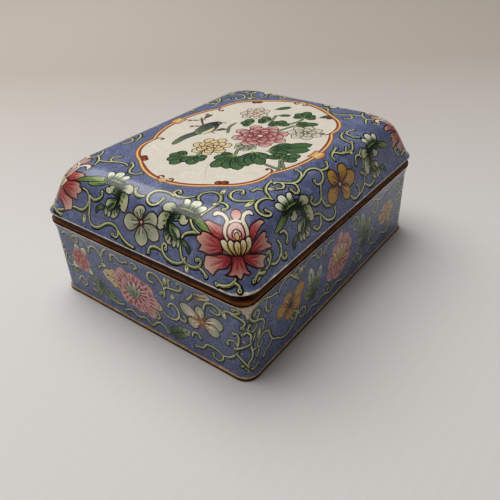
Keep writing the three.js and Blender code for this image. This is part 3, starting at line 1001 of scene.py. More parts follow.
def bud_leaf(drawing, foot, tip):
    """Draws the little pointed leaf that sprouts from a stem."""
    foot, tip = np.asarray(foot, float), np.asarray(tip, float)
    spine = smooth([foot, foot * 0.45 + tip * 0.55, tip])
    drawing.line(spine, 1.9, INK, ends=(0.4, 0.15))
    drawing.line(spine, 1.3, drawing.shaded(foot, tip, OLIVE, CREAM, PALE_SCROLL), ends=(0.4, 0.1))
    drawing.dot(foot * 0.6 + tip * 0.4, 0.26, RED_BROWN)


def swap_sides(points):
    """A placing that takes the front's leaf to the right side, over the corner's mitre."""
    return np.stack([-points[:, 1] - 7, -points[:, 0] - 7], 1)


def lid_scrolls(drawing):
    """Draws the scrolling stems on the lid's four sides."""
    for turn in (1, -1):
        drawing.place = mirrored(turn, turn)
        scrolls(drawing, FRONT_STEMS + RIGHT_STEMS)
        for foot, tip in FRONT_BUDS + RIGHT_BUDS:
            bud_leaf(drawing, foot, tip)


def lid_flowers(drawing):
    """Draws the leaves, blossoms and corner lotuses of the lid."""
    leaf_places = (
        lambda points: points,
        lambda points: points * [-1, 1] + [5.5, 0.6],
        swap_sides,
        lambda points: swap_sides(points) * [1, -1],
    )
    for turn in (1, -1):
        for place in leaf_places:
            drawing.place = lambda points, place=place, turn=turn: place(points) * turn
            acanthus(drawing)
        drawing.place = mirrored(turn, turn)
        strip = smooth([(-26.5, -45.6), (-23, -45), (-19, -43.9), (-16, -43)])
        drawing.line(strip, 1.9, INK, ends=(0.7, 1))
        drawing.line(strip, 1.4, drawing.shaded(strip[0], strip[-1], LEAF, LEAF_LIGHT), ends=(0.7, 1))
        blossom(drawing, (3, -50.4), FRONT_PETALS, (BLOSSOM_WHITE, BLOSSOM_GREEN, BLOSSOM_WHITE),
                BROWN_INK, PALE_ROSE, MAROON)
        blossom(drawing, (39.8, 0.3), RIGHT_PETALS, (ROSE, OCHRE, OCHRE), BROWN_INK, PALE_ROSE, MAROON)
    for side_x, side_y in ((1, -1), (-1, -1), (1, 1), (-1, 1)):
        drawing.place = round_corner(side_x, side_y)
        scrolls(drawing, CORNER_STEMS)
        lotus(drawing)
    drawing.place = np.asarray


PICTURE_CENTRE = (0.75, 0.73)
FRAME_ARCS = (
    [(27.2, 0), (27, 4), (26.2, 8.5), (24.8, 12.8), (22.6, 16.8)],
    [(22.6, 16.8), (22.7, 20.6), (21.4, 24.4), (18.6, 27.9), (14.5, 30.6)],
    [(14.5, 30.6), (11.5, 32.8), (8, 34.7), (4, 36), (0, 36.5)],
)
# Foot of each of the picture's leaves, and the angle, length and width of its lobes
PICTURE_LEAVES = (
    ((-5, -20.5), ((172, 4.6, 3.4), (205, 5.8, 3.6), (240, 6.6, 3.6), (268, 7.4, 3.4), (298, 4.6, 3))),
    ((-3, -18.6), ((262, 6, 3.2), (294, 7, 3.6), (326, 5, 3.4), (350, 4, 3))),
    ((6.6, -12.2), ((214, 4.4, 3.6), (238, 6.8, 3.8), (268, 10.8, 4.4), (292, 10, 4.2), (312, 10.8, 4.2),
                    (332, 9.2, 4))),
    ((9.6, -7.6), ((284, 8.6, 4.2), (302, 9.4, 4.2), (322, 10.2, 4), (346, 7.4, 3.6))),
    ((13, -5.4), ((68, 9.4, 4), (52, 15, 5), (36, 13.4, 4.8), (18, 7, 3.6))),
    ((20, -8.4), ((165, 4.8, 3), (130, 5, 3), (95, 4.4, 3), (62, 7, 3.4), (30, 5.2, 3))),
    ((-3.6, 10), ((222, 3.2, 3), (180, 4.4, 3.2), (140, 5.2, 3.2))),
    ((0, 14.4), ((200, 3.6, 3), (166, 4.6, 3), (136, 5.6, 3.2))),
    ((4.6, 13), ((172, 3.6, 3), (132, 4.8, 3.2), (100, 5.6, 3.2), (62, 4.6, 3))),
    ((8.2, 23.4), ((178, 3.8, 3), (142, 5.4, 3.4), (106, 6.8, 3.4), (66, 5, 3), (34, 4.4, 3))),
    ((12.2, 26.2), ((52, 4.8, 2),)),
    ((9.2, 16.2), ((66, 5.4, 3), (42, 8.2, 3.4), (16, 6.4, 3))),
    ((-5.4, 24.8), ((55, 7.2, 2.4),)),
    ((-1.2, 21), ((31, 5, 2),)),
)


def frame_curls(drawing):
    """Draws the curl and the two red balls at one quarter's cusps of the picture's frame."""
    hook = smooth([(22.6, 16.8), (22.3, 15.5), (21.3, 14.7), (20.2, 15), (20.5, 15.9)], step=0.35)
    drawing.line(hook, 0.62, RED_BROWN, ends=(0.8, 0.5))
    drawing.dot((20.7, 15.6), 0.42, RED_BROWN)
    for ball in ((14.2, 29.2), (15.6, 28.2)):
        drawing.dot(ball, 1.2, RED_BROWN)
        drawing.dot((ball[0] - 0.2, ball[1] + 0.3), 0.45, GOLD_DEEP)


def side_knot(drawing):
    """Draws the gold knot at the middle of the frame's right side."""
    knot = smooth([(29.6, 0.6), (28.6, 2.6), (27, 2), (25.6, 2.8), (25.7, 0.4), (25.6, -2),
                   (27, -1.2), (28.6, -1.8)], closed=True)
    drawing.line(knot, 0.55, RED_BROWN, closed=True)
    drawing.fill(knot, drawing.shaded((29.5, 0.5), (25.8, 0.5), GOLD_DEEP, GOLD_LIGHT, GOLD))


def front_knot(drawing):
    """Draws the gold knot at the middle of the frame's front, between two curls."""
    for across in (-1, 1):
        hook = smooth([(across * 0.8, -36), (across * 2.4, -35.6), (across * 2.2, -34.3),
                       (across * 1.1, -34.5), (across * 1.5, -35)], step=0.35)
        drawing.line(hook, 0.62, RED_BROWN, ends=(0.8, 0.7))
    knot = [(2, -36.6), (1, -36), (0.6, -35), (0, -35.6), (-0.7, -35), (-1.1, -36), (-2, -36.5),
            (-0.9, -37), (0, -37.5), (0.9, -37)]
    drawing.line(knot, 0.4, RED_BROWN, closed=True)
    drawing.fill(knot, drawing.shaded((0, -37.4), (0, -35), GOLD, GOLD_LIGHT))


def picture_frame(drawing):
    """Draws the ivory panel in its lobed gold frame."""
    quarter = np.vstack([smooth(arc)[:-1] for arc in FRAME_ARCS] + [[[0, 36.5]]])
    half = np.vstack([quarter, quarter[-2::-1] * [-1, 1]])
    outline = np.vstack([half[:-1], (half * [1, -1])[::-1][:-1]])
    drawing.line(outline, 1.7, RED_BROWN, closed=True)
    drawing.line(outline, 1.36, GOLD, closed=True)
    drawing.fill(outline, IVORY)
    drawing.line(outline, 0.86, GOLD, closed=True)
    drawing.line(outline * 1.006, 0.34, GOLD_LIGHT, closed=True)
    drawing.line(outline * 0.99, 0.34, GOLD_DEEP, closed=True)
    for arc in FRAME_ARCS:
        for side in ((1, 1), (-1, 1), (-1, -1), (1, -1)):
            drawing.line(smooth(arc) * side * 0.984, 0.75, RUST, ends=(0.1, 0.1))
    for turn_x in (1, -1):
        for turn_y in (1, -1):
            drawing.place = mirrored(turn_x, turn_y, PICTURE_CENTRE)
            frame_curls(drawing)
    for side in (1, -1):
        drawing.place = mirrored(side, side, PICTURE_CENTRE)
        side_knot(drawing)
        front_knot(drawing)


def bird(drawing):
    """Draws a small long-tailed bird on a twig."""
    twig = smooth([(-22.5, 6), (-18, 1.6), (-13.4, -1.2), (-9, -2.8)])
    drawing.line(twig, 0.75, TWIG, ends=(0.6, 0.3))
    for foot, tip in (((-20, 3.4), (-22.6, 9.4)), ((-21, 4.6), (-24, 1.8)), ((-17, 0.8), (-19.8, -2)),
                      ((-11.4, -2), (-9.6, 1.6))):
        foot, tip = np.array(foot), np.array(tip)
        middle = (foot + tip) / 2
        drawing.line(smooth([foot, middle + [0.4, 0], tip]), 0.5, TWIG, ends=(1, 0.3))
        drawing.dot(tip, 0.8, PICTURE_ROSE)
        lobed_leaf(drawing, middle, tip + [1.6, 0.8], 1.6, (LEAF_GREY, LEAF), BROWN_INK, 2)
    tail = [(-15.6, -5), (-16.8, -10.5), (-15.6, -16), (-14.2, -16.2), (-14.2, -10.5), (-13.2, -5)]
    petal(drawing, tail, (-14.4, -4), (-14.9, -16), (BIRD_GREY, BIRD_GREY, LEAF_GREY), BIRD_DARK, 0.3)
    body = [(-16.8, 3.6), (-17.2, 0), (-16.2, -4.4), (-14.4, -6.6), (-12.2, -5), (-11, -1.6),
            (-11.8, 2), (-13.2, 4.4), (-15, 5.4)]
    petal(drawing, body, (-15, 5), (-14, -6), (BIRD_DARK, BIRD_GREY, LEAF_GREY), BIRD_DARK, 0.3)
    belly = [(-12.6, 1.4), (-11.3, -1.4), (-12, -4.6), (-13.2, -5.2), (-13, -2)]
    petal(drawing, belly, (-12.6, 1), (-12.8, -5), (BIRD_YELLOW, CREAM_WHITE), BIRD_GREY, 0.2, 0)
    drawing.dot((-14.2, 4.6), 1.75, BIRD_DARK)
    drawing.line([(-13.2, 5.6), (-12.2, 6.4), (-11.4, 6.8)], 0.55, BIRD_DARK, ends=(1, 0.1))
    drawing.dot((-13.7, 5.1), 0.32, CREAM_WHITE)
    for share in np.linspace(0.15, 0.85, 5):
        start = np.array([-16.6, 2.6]) + share * np.array([1.4, -7])
        drawing.line([start, start + [1.3, -0.9], start + [2.4, -2.6]], 0.26, BIRD_DARK, ends=(1, 0.1))


def picture_leaf(drawing, foot, lobes):
    """Draws a leaf of round dark green lobes, with black edges and pale veins."""
    for angle, length, width in lobes:
        outline = round_petal(foot, angle, length, width, 0.2)
        heading = direction(radians(angle))
        tip = foot + heading * length
        drawing.fill(outline, drawing.shaded(foot, tip, PICTURE_LEAF_DEEP, PICTURE_LEAF))
        drawing.line(outline, 0.36, INK, closed=True)
        drawing.line([foot, foot + heading * length * 0.4, foot + heading * length * 0.74], 0.34,
                     LEAF_LIGHT, ends=(1, 0.1))
        for side in (-1, 1):
            start = foot + heading * length * 0.42
            vein = (heading * 1.1 + left_of(heading) * side) * length
            drawing.line([start, start + vein * 0.09, start + vein * 0.17], 0.3, INK, ends=(1, 0.1))


def picture(drawing):
    """Draws the picture: a bird, a red peony, a yellow chrysanthemum and their leaves."""
    for path in ([(23.4, -14.4), (22, -11), (20, -8.4)], [(24.2, -12.4), (22, -10), (20.6, -8)],
                 [(22.6, -13.6), (17, -12.6), (13, -9.6)], [(6.6, -12.2), (5, -8), (5, -3)],
                 [(-3, -18.6), (-3, -14)], [(8.2, 23.4), (8.4, 20), (6, 14)], [(9.2, 16.2), (7, 9)],
                 [(-1.2, 21), (0, 17), (2, 12)], [(-6, 0), (-8.6, 4.4), (-9, 8.6)]):
        drawing.line(smooth(path), 1.1, BROWN_INK, ends=(0.8, 0.4))
        drawing.line(smooth(path), 0.7, LEAF_GREY, ends=(0.8, 0.4))
    bird(drawing)
    for foot, lobes in PICTURE_LEAVES:
        picture_leaf(drawing, np.array(foot), lobes)
    peony(drawing, (15.4, 13), 5.6, (LEAF_GREY, BLOSSOM_WHITE, IVORY), BROWN_INK, ((7, 1), (5, 0.6)),
          frills=2, ink_width=0.3, streaks=2)
    peony(drawing, (-8.8, 19), 4.8, (PALE_ROSE, BLOSSOM_WHITE, IVORY), BROWN_INK, ((7, 1), (5, 0.6)),
          flat=1.2, frills=2, ink_width=0.3, streaks=2)
    peony(drawing, (5.6, -5.6), 3.6, (LEAF_GREY, BLOSSOM_GREEN, IVORY), BROWN_INK, ((6, 1), (4, 0.6)),
          ink_width=0.22)
    peony(drawing, (4.6, 3.4), 9.0, (PICTURE_ROSE, PICTURE_ROSE, PICTURE_ROSE_PALE), DEEP_ROSE,
          ((8, 1), (7, 0.8), (7, 0.62), (6, 0.44), (4, 0.26)), flat=0.94, frills=1, ink_width=0.34,
          streaks=0)
    peony(drawing, (-3.3, -11.4), 6.5, (PICTURE_YELLOW, PICTURE_YELLOW_PALE, PICTURE_YELLOW_PALE),
          BROWN_INK, ((7, 1), (6, 0.74), (5, 0.5), (3, 0.28)), flat=0.9, turn=pi / 2, frills=1,
          ink_width=0.34, streaks=0)
    crack = [(3.4, -20), (5, -23.4), (7.2, -26.6), (9.8, -30)]
    drawing.line(crack, 0.12, WORN, ends=(0.3, 0.3))


# The lid's blue ends at a run up from the lip. It wore within a reach of the nearest corner, by a
# share of the way to the middle of the top.
BLUE_EDGE = 0.28
WORN_CORNER = np.array((LID_RING_X - 6, 6 - LID_RING_Y))
WORN_REACH = 10
WORN_DEPTH = 0.015


def worn_ring():
    """The edge of the lid's blue, which wanders, and lies further in where the nearest corner wore."""
    chance = np.random.default_rng(7)
    loop = []
    for point in spaced(lid_ring(BLUE_EDGE), 1.4):
        worn = np.exp(-np.hypot(*(point - WORN_CORNER)) / WORN_REACH)
        share = 0.02 + 0.3 * worn + chance.random() * (0.12 + 0.4 * worn)
        loop.append(point * (1 - WORN_DEPTH * share))
    return loop


def lid_drawing():
    """The lid's drawing."""
    drawing = Drawing()
    drawing.fill(lid_ring(0), LIP_PINK)
    drawing.fill(worn_ring(), BLUE)
    drawing.ground_count = 2
    lid_scrolls(drawing)
    lid_flowers(drawing)
    for draw in (picture_frame, picture):
        drawing.place = mirrored(shift=PICTURE_CENTRE)
        draw(drawing)
    drawing.loose = net((-LID_RING_X, LID_RING_X), (-LID_RING_Y, LID_RING_Y), PAINT_NET)
    return drawing


# Layout of the base. Points on a side are distance from its middle and height above the table.

WALL_FOOT = 0.85
BASE_FRONT_STEMS = [
    ([(-22, 20.4), (-21, 22.4), (-19, 23.2), (-17, 22), (-16, 19.6), (-16.6, 17.4), (-18.4, 16)], "az"),
    ([(-12.6, 25), (-14.6, 23.6), (-16, 21)], "a"),
    ([(-11.6, 21.4), (-11.2, 23.2), (-9.4, 23.8), (-8, 22.6), (-6.4, 22.4), (-4.4, 23.4)], "az"),
    ([(-2.4, 23.9), (-1, 24.2), (-0.2, 23), (-1.4, 22.2)], "z"),
    ([(5.7, 20.4), (4.5, 20.4), (4, 21.6), (4.4, 23), (5.8, 24), (7.5, 23.8), (9, 22.5), (10, 20.5),
      (10.2, 18.5), (9.8, 16.8)], "a"),
    ([(9.9, 19.7), (11.1, 20.9), (13.6, 21.3), (16.1, 21.9), (17.4, 23.6), (16.6, 24.9),
      (15.6, 24.2)], "z"),
    ([(10, 18.2), (9, 18.6), (8.4, 17.6)], "z"),
    ([(11, 14.2), (11.6, 15.4), (13, 15.9), (14.6, 14.7), (14.9, 12.8), (13.6, 10.6), (11.1, 10),
      (8.8, 10.8), (7.8, 12.4)], "a"),
    ([(14.8, 12), (16.2, 11.2), (17.5, 12), (16.9, 13.2)], "z"),
    ([(24.6, 16.6), (24.6, 19.4), (25.5, 21.9), (27.4, 22.8), (29.6, 22.5), (30.5, 21.3), (29.3, 20),
      (27.4, 20.3)], "z"),
    ([(30.2, 22.2), (33, 22.8), (35.5, 23.2), (36.9, 24.4), (35.9, 25.1), (34.9, 24.6)], "z"),
    ([(33.9, 22.6), (36.4, 22.2), (38, 20.6), (37.2, 19)], "z"),
    ([(19.4, 7.2), (19.8, 8.8), (21.6, 9.4), (22.5, 8.3)], "z"),
    ([(20.5, 4.2), (23.3, 5), (24.3, 6.6), (26.1, 7.1), (28.6, 6.8), (30.3, 5.7), (29.9, 4.1),
      (28.4, 3.1), (26.9, 3.6), (26.9, 4.8)], "az"),
    ([(30.2, 5.9), (33, 6.9), (35.2, 9.4), (35.8, 12.2), (34.6, 13.6), (32.6, 13), (32.3, 11.6)], "z"),
    ([(35.8, 12.6), (36.2, 15), (35.6, 16.6), (34.4, 16.2)], "z"),
    ([(-9.6, 5.2), (-12.4, 4.4), (-15.6, 5), (-18.4, 7), (-20.2, 9.6)], "a"),
    ([(-24.6, 5)] + curl(-22.6, 6.4, 2.2, 220, 264), "z"),
    ([(3.6, 3.6), (5.6, 5.4), (8.2, 5.2), (9.4, 3.4)], "az"),
    ([(3, 8.4)] + curl(5.2, 8, 2.1, 200, -320), "z"),
    ([(-34.4, 16)] + curl(-33.4, 12.6, 2.6, 120, 320), "z"),
    ([(-31.4, 6.6)] + curl(-28.6, 6, 2.3, 190, -336), "z"),
    ([(-34.4, 22.6), (-32.4, 24), (-30, 23)] + curl(-28, 23, 1.9, 180, 320), "z"),
    ([(-27, 24.6), (-24.4, 24.8), (-22.4, 23.4), (-21.6, 21.4)], "a"),
    ([(-9, 3.4), (-6, 4.6), (-3, 3.4), (0, 4.4), (2.6, 3)], "az"),
    ([(39.4, 20.8)] + curl(40, 18.6, 2.2, 90, -320), "z"),
    ([(41, 15.4), (39.4, 12.8), (39.8, 10), (39.2, 7.4), (36.8, 5.4)], "az"),
    ([(39.8, 10.6), (41.6, 10.4), (42.4, 8.8), (41.6, 7.6)], "z"),
    ([(38, 4.6), (40, 3.8), (42, 4.6)], "az"),
    ([(13, 24.6), (12.2, 23.4), (12.4, 21.6)], "a"),
    ([(19, 20.4), (20.4, 21.8), (21.4, 23.6)], "a"),
]
BASE_RIGHT_STEMS = [
    ([(-35.2, 22.5), (-38.4, 23.2), (-40.2, 24.2), (-42.7, 25), (-44.9, 24.9), (-46.6, 24.2),
      (-47.4, 22.6), (-47, 21.1), (-45.2, 19.6), (-43.1, 18.9), (-41.6, 17.1), (-42.2, 15.2)], "z"),
    ([(-44.4, 19.4)] + curl(-44.8, 21.8, 1.7, 280, 240), "z"),
    ([(-39.9, 23.6), (-40.8, 21.4), (-40.2, 19.4), (-38.8, 18.8), (-38.2, 20)], "z"),
    ([(-49.5, 16.8), (-48.2, 17.3), (-47.2, 15.6), (-47.6, 13.6)], "a"),
    ([(-34.1, 5.2), (-35.4, 6.4), (-37.7, 7.9), (-39.1, 10.4), (-39.7, 12.5), (-42, 13.4),
      (-44.3, 12.6), (-45, 10.8), (-43.8, 9.8), (-42.8, 10.6)], "z"),
    ([(-52, 11), (-49.3, 12.3), (-47, 13.4)], "a"),
    ([(-51.4, 9.2), (-49.6, 7), (-48.2, 4.6)], "a"),
    ([(-38.2, 8.6), (-39.6, 7), (-41.4, 6.6), (-42.4, 5)], "z"),
    ([(-34.6, 21.8), (-33.4, 23.8), (-31.2, 24.9), (-29, 24.3), (-27.4, 22.6), (-25, 20.7)], "z"),
    ([(-28.8, 24)] + curl(-25.8, 23.2, 1.7, 150, -304), "z"),
    ([(-34, 5.2), (-31, 4.2), (-28, 5), (-25.8, 7.2), (-24.6, 10)], ""),
    ([(-26, 6.8)] + curl(-27.4, 8.8, 2.0, 300, 320), "z"),
    ([(-24.8, 9)] + curl(-22.6, 6.4, 2.3, 150, -304), "z"),
    ([(-22, 22.4), (-19, 24.2), (-16, 23.2)] + curl(-14, 22.4, 2.0, 160, -320), "z"),
    ([(-20.4, 4.2), (-17, 5.2), (-14, 4.2), (-11, 5)] + curl(-9, 6.6, 2.2, 230, 320), "z"),
    ([(-10, 5), (-6, 3.6), (-2, 4.8), (2, 3.4), (6, 4.6), (9.4, 7.4)], "a"),
    ([(-11, 21.2), (-8, 23.2), (-5, 22.6)], "a"),
    ([(5.6, 23.2), (8.4, 24), (10.6, 22.2)] + curl(9.4, 20.2, 2.2, 70, -320), "z"),
    ([(9.2, 7.2)] + curl(11.6, 6, 2.2, 160, -320), "z"),
    ([(20, 4), (21.4, 6.4), (20.4, 9)] + curl(22.2, 10.6, 2.1, 200, -320), "z"),
    ([(18.6, 22.6), (21.4, 24), (24.4, 22.6)] + curl(23, 20.2, 2.3, 60, -336), "z"),
    ([(24.6, 22.6), (27.6, 21.8), (30, 23.4), (33, 22.6), (35.4, 24)], "z"),
    ([(22, 6.4), (26, 5), (30, 6.6), (34, 4.8), (38, 6.4), (40.6, 9.4), (41, 13), (39.8, 16)], "z"),
    ([(40.8, 14.4)] + curl(43, 15.4, 2.1, 200, -320), "z"),
    ([(38, 21.4)] + curl(40.6, 20.6, 2.3, 170, -320), "z"),
    ([(34.6, 4.8)] + curl(35.4, 8.4, 2.0, 240, 304), "z"),
]
BASE_FRONT_BUDS = [((10.4, 21.6), (11.6, 24.8)), ((31, 22.6), (32.2, 20)), ((13.8, 19.6), (12.8, 17.8)),
                   ((24.6, 24.6), (27.2, 25)), ((-17, 17.6), (-14.6, 17.8))]
BASE_RIGHT_BUDS = [((-44.6, 13), (-43.6, 16.2)), ((-24.6, 21.8), (-22.6, 23.8)), ((16, 6.4), (14, 3.6))]
PEONY_ON_FRONT = [(160, 9.6, 6), (134, 9.4, 6), (98, 7.2, 5.6), (60, 7.2, 5.8), (28, 9.2, 6.2),
                  (-2, 10, 5.2), (-38, 10, 5), (-70, 7.2, 5.4), (-112, 6.4, 5.8), (-148, 7.8, 6)]
PEONY_ON_RIGHT = [(92, 10.4, 3.6), (124, 7.8, 5.4), (166, 7.6, 5.4), (-150, 8.8, 5.2), (-104, 7.4, 5.6),
                  (-58, 6.8, 5.4), (-14, 7.2, 5.6), (26, 8.4, 5.2), (60, 8.8, 5)]
BLOSSOM_ON_FRONT = [(160, 8.6, 4.4), (18, 8.2, 4.6), (208, 6, 4), (-18, 6.6, 4.2), (98, 5.6, 3.4)]
OCHRE_ON_RIGHT = [(112, 5.2, 4.2), (26, 8.4, 4.4), (172, 6.6, 4), (-92, 4.8, 4.2), (-20, 6.2, 4)]


def base_side(drawing, middle, turn, stems, buds, flowers):
    """Draws one side of the base, turned half round for the two sides behind."""
    rise = -WALL_FOOT if turn > 0 else BASE_TOP + FOOT_EDGE - WALL_FOOT
    drawing.place = mirrored(turn, turn, (middle, rise))
    scrolls(drawing, stems, 0.72, 0.36)
    for foot, tip in buds:
        bud_leaf(drawing, foot, tip)
    flowers(drawing)
    drawing.place = np.asarray


def front_flowers(drawing):
    """Draws the base's front flowers: a large rose peony between a small one and a pale blossom."""
    for foot, tip, width in (((-19, 10.4), (-21.4, 3.4), 3.6), ((-20, 9), (-11.4, 4.8), 3.6),
                             ((-24.6, 12.4), (-20.2, 8.8), 3.2), ((-29, 11.6), (-33.2, 8.4), 2.8)):
        lobed_leaf(drawing, foot, tip, width, (DEEP_LEAF, LEAF_GREY, LEAF_LIGHT), INK)
    lobed_leaf(drawing, (10.6, 3.8), (18.8, 8.6), 5, (DEEP_LEAF, LEAF, PALE_LOBE), INK, 4)
    lobed_leaf(drawing, (-7, 14), (-17, 14.8), 7.4, (OCHRE, OCHRE_LIGHT, SHELL), BROWN_INK, 3)
    lobed_leaf(drawing, (3, 12.8), (8.6, 11.6), 4.2, (OCHRE, OCHRE_LIGHT, SHELL), BROWN_INK, 2)
    small_peony = np.array((-27.2, 15.2))
    for angle, length in ((60, 6.4), (100, 6), (220, 6.4), (320, 6.2)):
        tip = small_peony + 6 * direction(radians(angle))
        petal(drawing, round_petal(small_peony, angle, length, 3), small_peony, tip,
              (LEAF_GREY, LEAF_GREY, WHITE_LOBE), INK, 0.2, 2)
    peony(drawing, small_peony, 4.4, (CRIMSON, ROSE, PALE_ROSE), CRIMSON, ((6, 1), (5, 0.6)),
          heart=OCHRE_LIGHT, ink_width=0.18)
    loose_flower(drawing, (-2.8, 12.8), PEONY_ON_FRONT, (ROSE, CRIMSON, SHELL_PINK), ROSE)
    for angle, length in ((62, 6.6), (84, 7.4), (106, 7), (128, 6)):
        petal(drawing, round_petal((-3.4, 9.6), angle, length, 1.7), (-3.4, 9.8), (-3.4, 16.6),
              (LEAF_GREY, BLOSSOM_GREEN, CREAM_WHITE), BROWN_INK, 0.2, 2)
    drawing.line(smooth([(24.2, 16), (23.2, 18.6), (22.4, 21), (23, 23)]), 0.7, DEEP_OCHRE)
    lobed_leaf(drawing, (21, 22.6), (27.6, 24.4), 2.8, (TWIG, OCHRE_LIGHT, CREAM_WHITE), BROWN_INK, 2)
    blossom(drawing, (23.6, 14.6), BLOSSOM_ON_FRONT, (OCHRE_LIGHT, BLOSSOM_WHITE, BLOSSOM_GREEN),
            BROWN_INK, OCHRE, DEEP_OCHRE)


def right_flowers(drawing):
    """Draws the base's flowers on its right: ochre, rose and orange, with leaves between them."""
    for foot, tip, width, tones in (
            ((-16.6, 7.6), (-18.6, 20.4), 5.6, (DEEP_LEAF, LEAF_GREY, WHITE_LOBE)),
            ((-16.4, 9), (-12.2, 18), 4.4, (DEEP_LEAF, LEAF_GREY, WHITE_LOBE)),
            ((-17, 9), (-22, 12.4), 4, (DEEP_LEAF, LEAF_GREY, LEAF_LIGHT)),
            ((16.4, 8), (13.4, 23), 5.6, (DEEP_LEAF, LEAF, PALE_LOBE)),
            ((16.4, 9), (19.6, 19), 4.6, (DEEP_LEAF, LEAF, PALE_LOBE)),
            ((16, 10.6), (11.4, 13), 3.8, (DEEP_LEAF, LEAF_GREY, PALE_LOBE))):
        lobed_leaf(drawing, foot, tip, width, tones, INK)
    blossom(drawing, (-29.4, 14), OCHRE_ON_RIGHT, (ROSE, OCHRE, OCHRE), DEEP_OCHRE, MAROON, BROWN_INK)
    loose_flower(drawing, (-0.8, 13.4), PEONY_ON_RIGHT, (ROSE, CRIMSON, SHELL_PINK), ROSE)
    for angle in (55, 78, 100, 122):
        petal(drawing, round_petal((-1, 11.4), angle, 7.4, 2), (-1, 12), (-1, 19),
              (OCHRE, OCHRE_LIGHT, CREAM_WHITE), BROWN_INK, 0.22, 2)
    peony(drawing, (32.8, 13.8), 5.8, (DEEP_OCHRE, OCHRE, PALE_ROSE), BROWN_INK, ((6, 1), (5, 0.6)),
          flat=0.76, heart=OCHRE_LIGHT, ink_width=0.2)


# The blue's edges on the base: the run up from the foot, the run down from the mouth, and a waver
FOOT_BAND = 0.5
MOUTH_BAND = 0.35
BAND_WAVER = 0.22
# The run up to which the foot's curve needs closer points
NEAR_FOOT = 1.5
ALONG_STRIP = np.linspace(STRIP_START, STRIP_END, STRIP_POINTS)
CORNER_MIDDLE = HALF_WIDTH + QUARTER_TURN / 2
# The chip in the enamel at the nearest corner: distance past its middle, and run down from the mouth
CHIP = [(-2.4, 0.1), (-1.9, 1.1), (-0.9, 1.3), (-0.6, 2.5), (0.1, 3.2), (0.5, 4.8), (1.1, 4.4), (1.2, 3.1),
        (2.2, 2.6), (2.9, 1.6), (4.2, 1.2), (5.2, 0.1)]


def strip_band(low, high, waver=0.0):
    """The outline of a band all along the base's strip, its edges wandering by a seeded waver."""
    chance = np.random.default_rng(11)
    sway = np.zeros((2, STRIP_POINTS))
    sway[:, 1:-1] = chance.random((2, STRIP_POINTS - 2)) * waver
    return [*zip(ALONG_STRIP, low + sway[0]), *zip(ALONG_STRIP[::-1], high - sway[1])]


def wear_corner(drawing):
    """Draws the chipped mouth at the nearest corner, and the worn specks down that corner."""
    chip = [(CORNER_MIDDLE + aside, BASE_SLANT - down) for aside, down in CHIP]
    drawing.line(chip, 0.3, BROWN_INK)
    drawing.fill(chip, drawing.shaded(chip[0], chip[5], WORN, LIP_PINK))
    chance = np.random.default_rng(5)
    for down in (4.6, 5.3, 7.8, 11.5, 12.2, 16.4, 19.8, 20.6, 22.9):
        drawing.dot((CORNER_MIDDLE + chance.normal(0, 0.7), BASE_SLANT - down),
                    0.12 + 0.22 * chance.random(), WORN, 2.0, chance.random())


def base_drawing():
    """The base's drawing: one strip round all four sides."""
    drawing = Drawing()
    foot, mouth = np.array([0, 0]), np.array([0, BASE_SLANT])
    drawing.fill(strip_band(0, BASE_SLANT), drawing.shaded(foot, mouth, FOOT_GOLD, LIP_PINK))
    drawing.fill(strip_band(FOOT_BAND, BASE_SLANT - MOUTH_BAND, BAND_WAVER), BASE_BLUE)
    drawing.ground_count = 2
    for name, turn in (("front", 1), ("back", -1)):
        base_side(drawing, SIDES[name], turn, BASE_FRONT_STEMS, BASE_FRONT_BUDS, front_flowers)
    for name, turn in (("right", 1), ("left", -1)):
        base_side(drawing, SIDES[name], turn, BASE_RIGHT_STEMS, BASE_RIGHT_BUDS, right_flowers)
    wear_corner(drawing)
    flare_foot = BASE_SLANT - FLARE_HEIGHT
    rows = np.concatenate([np.linspace(0, NEAR_FOOT, 5)[1:-1], np.linspace(NEAR_FOOT, flare_foot, 13),
                           np.linspace(flare_foot, BASE_SLANT, 6)[1:-1]])
    drawing.loose = [(x, y) for y in rows for x in ALONG_STRIP]
    return drawing


# Shader maths

class Socket:
    """A value or colour in a material, so that shader maths reads as ordinary sums."""

    def __init__(self, material, link):
        self.material = material
        self.link = link

    def maths(self, operation, *values):
        """The result of a sum over values and sockets."""
        return self.material.node("ShaderNodeMath", {"operation": operation}, *values)

    def __add__(self, other):
        return self.maths("ADD", self, other)

    def __sub__(self, other):
        return self.maths("SUBTRACT", self, other)

    def __rsub__(self, other):
        return self.maths("SUBTRACT", other, self)

    def __mul__(self, other):
        return self.maths("MULTIPLY", self, other)


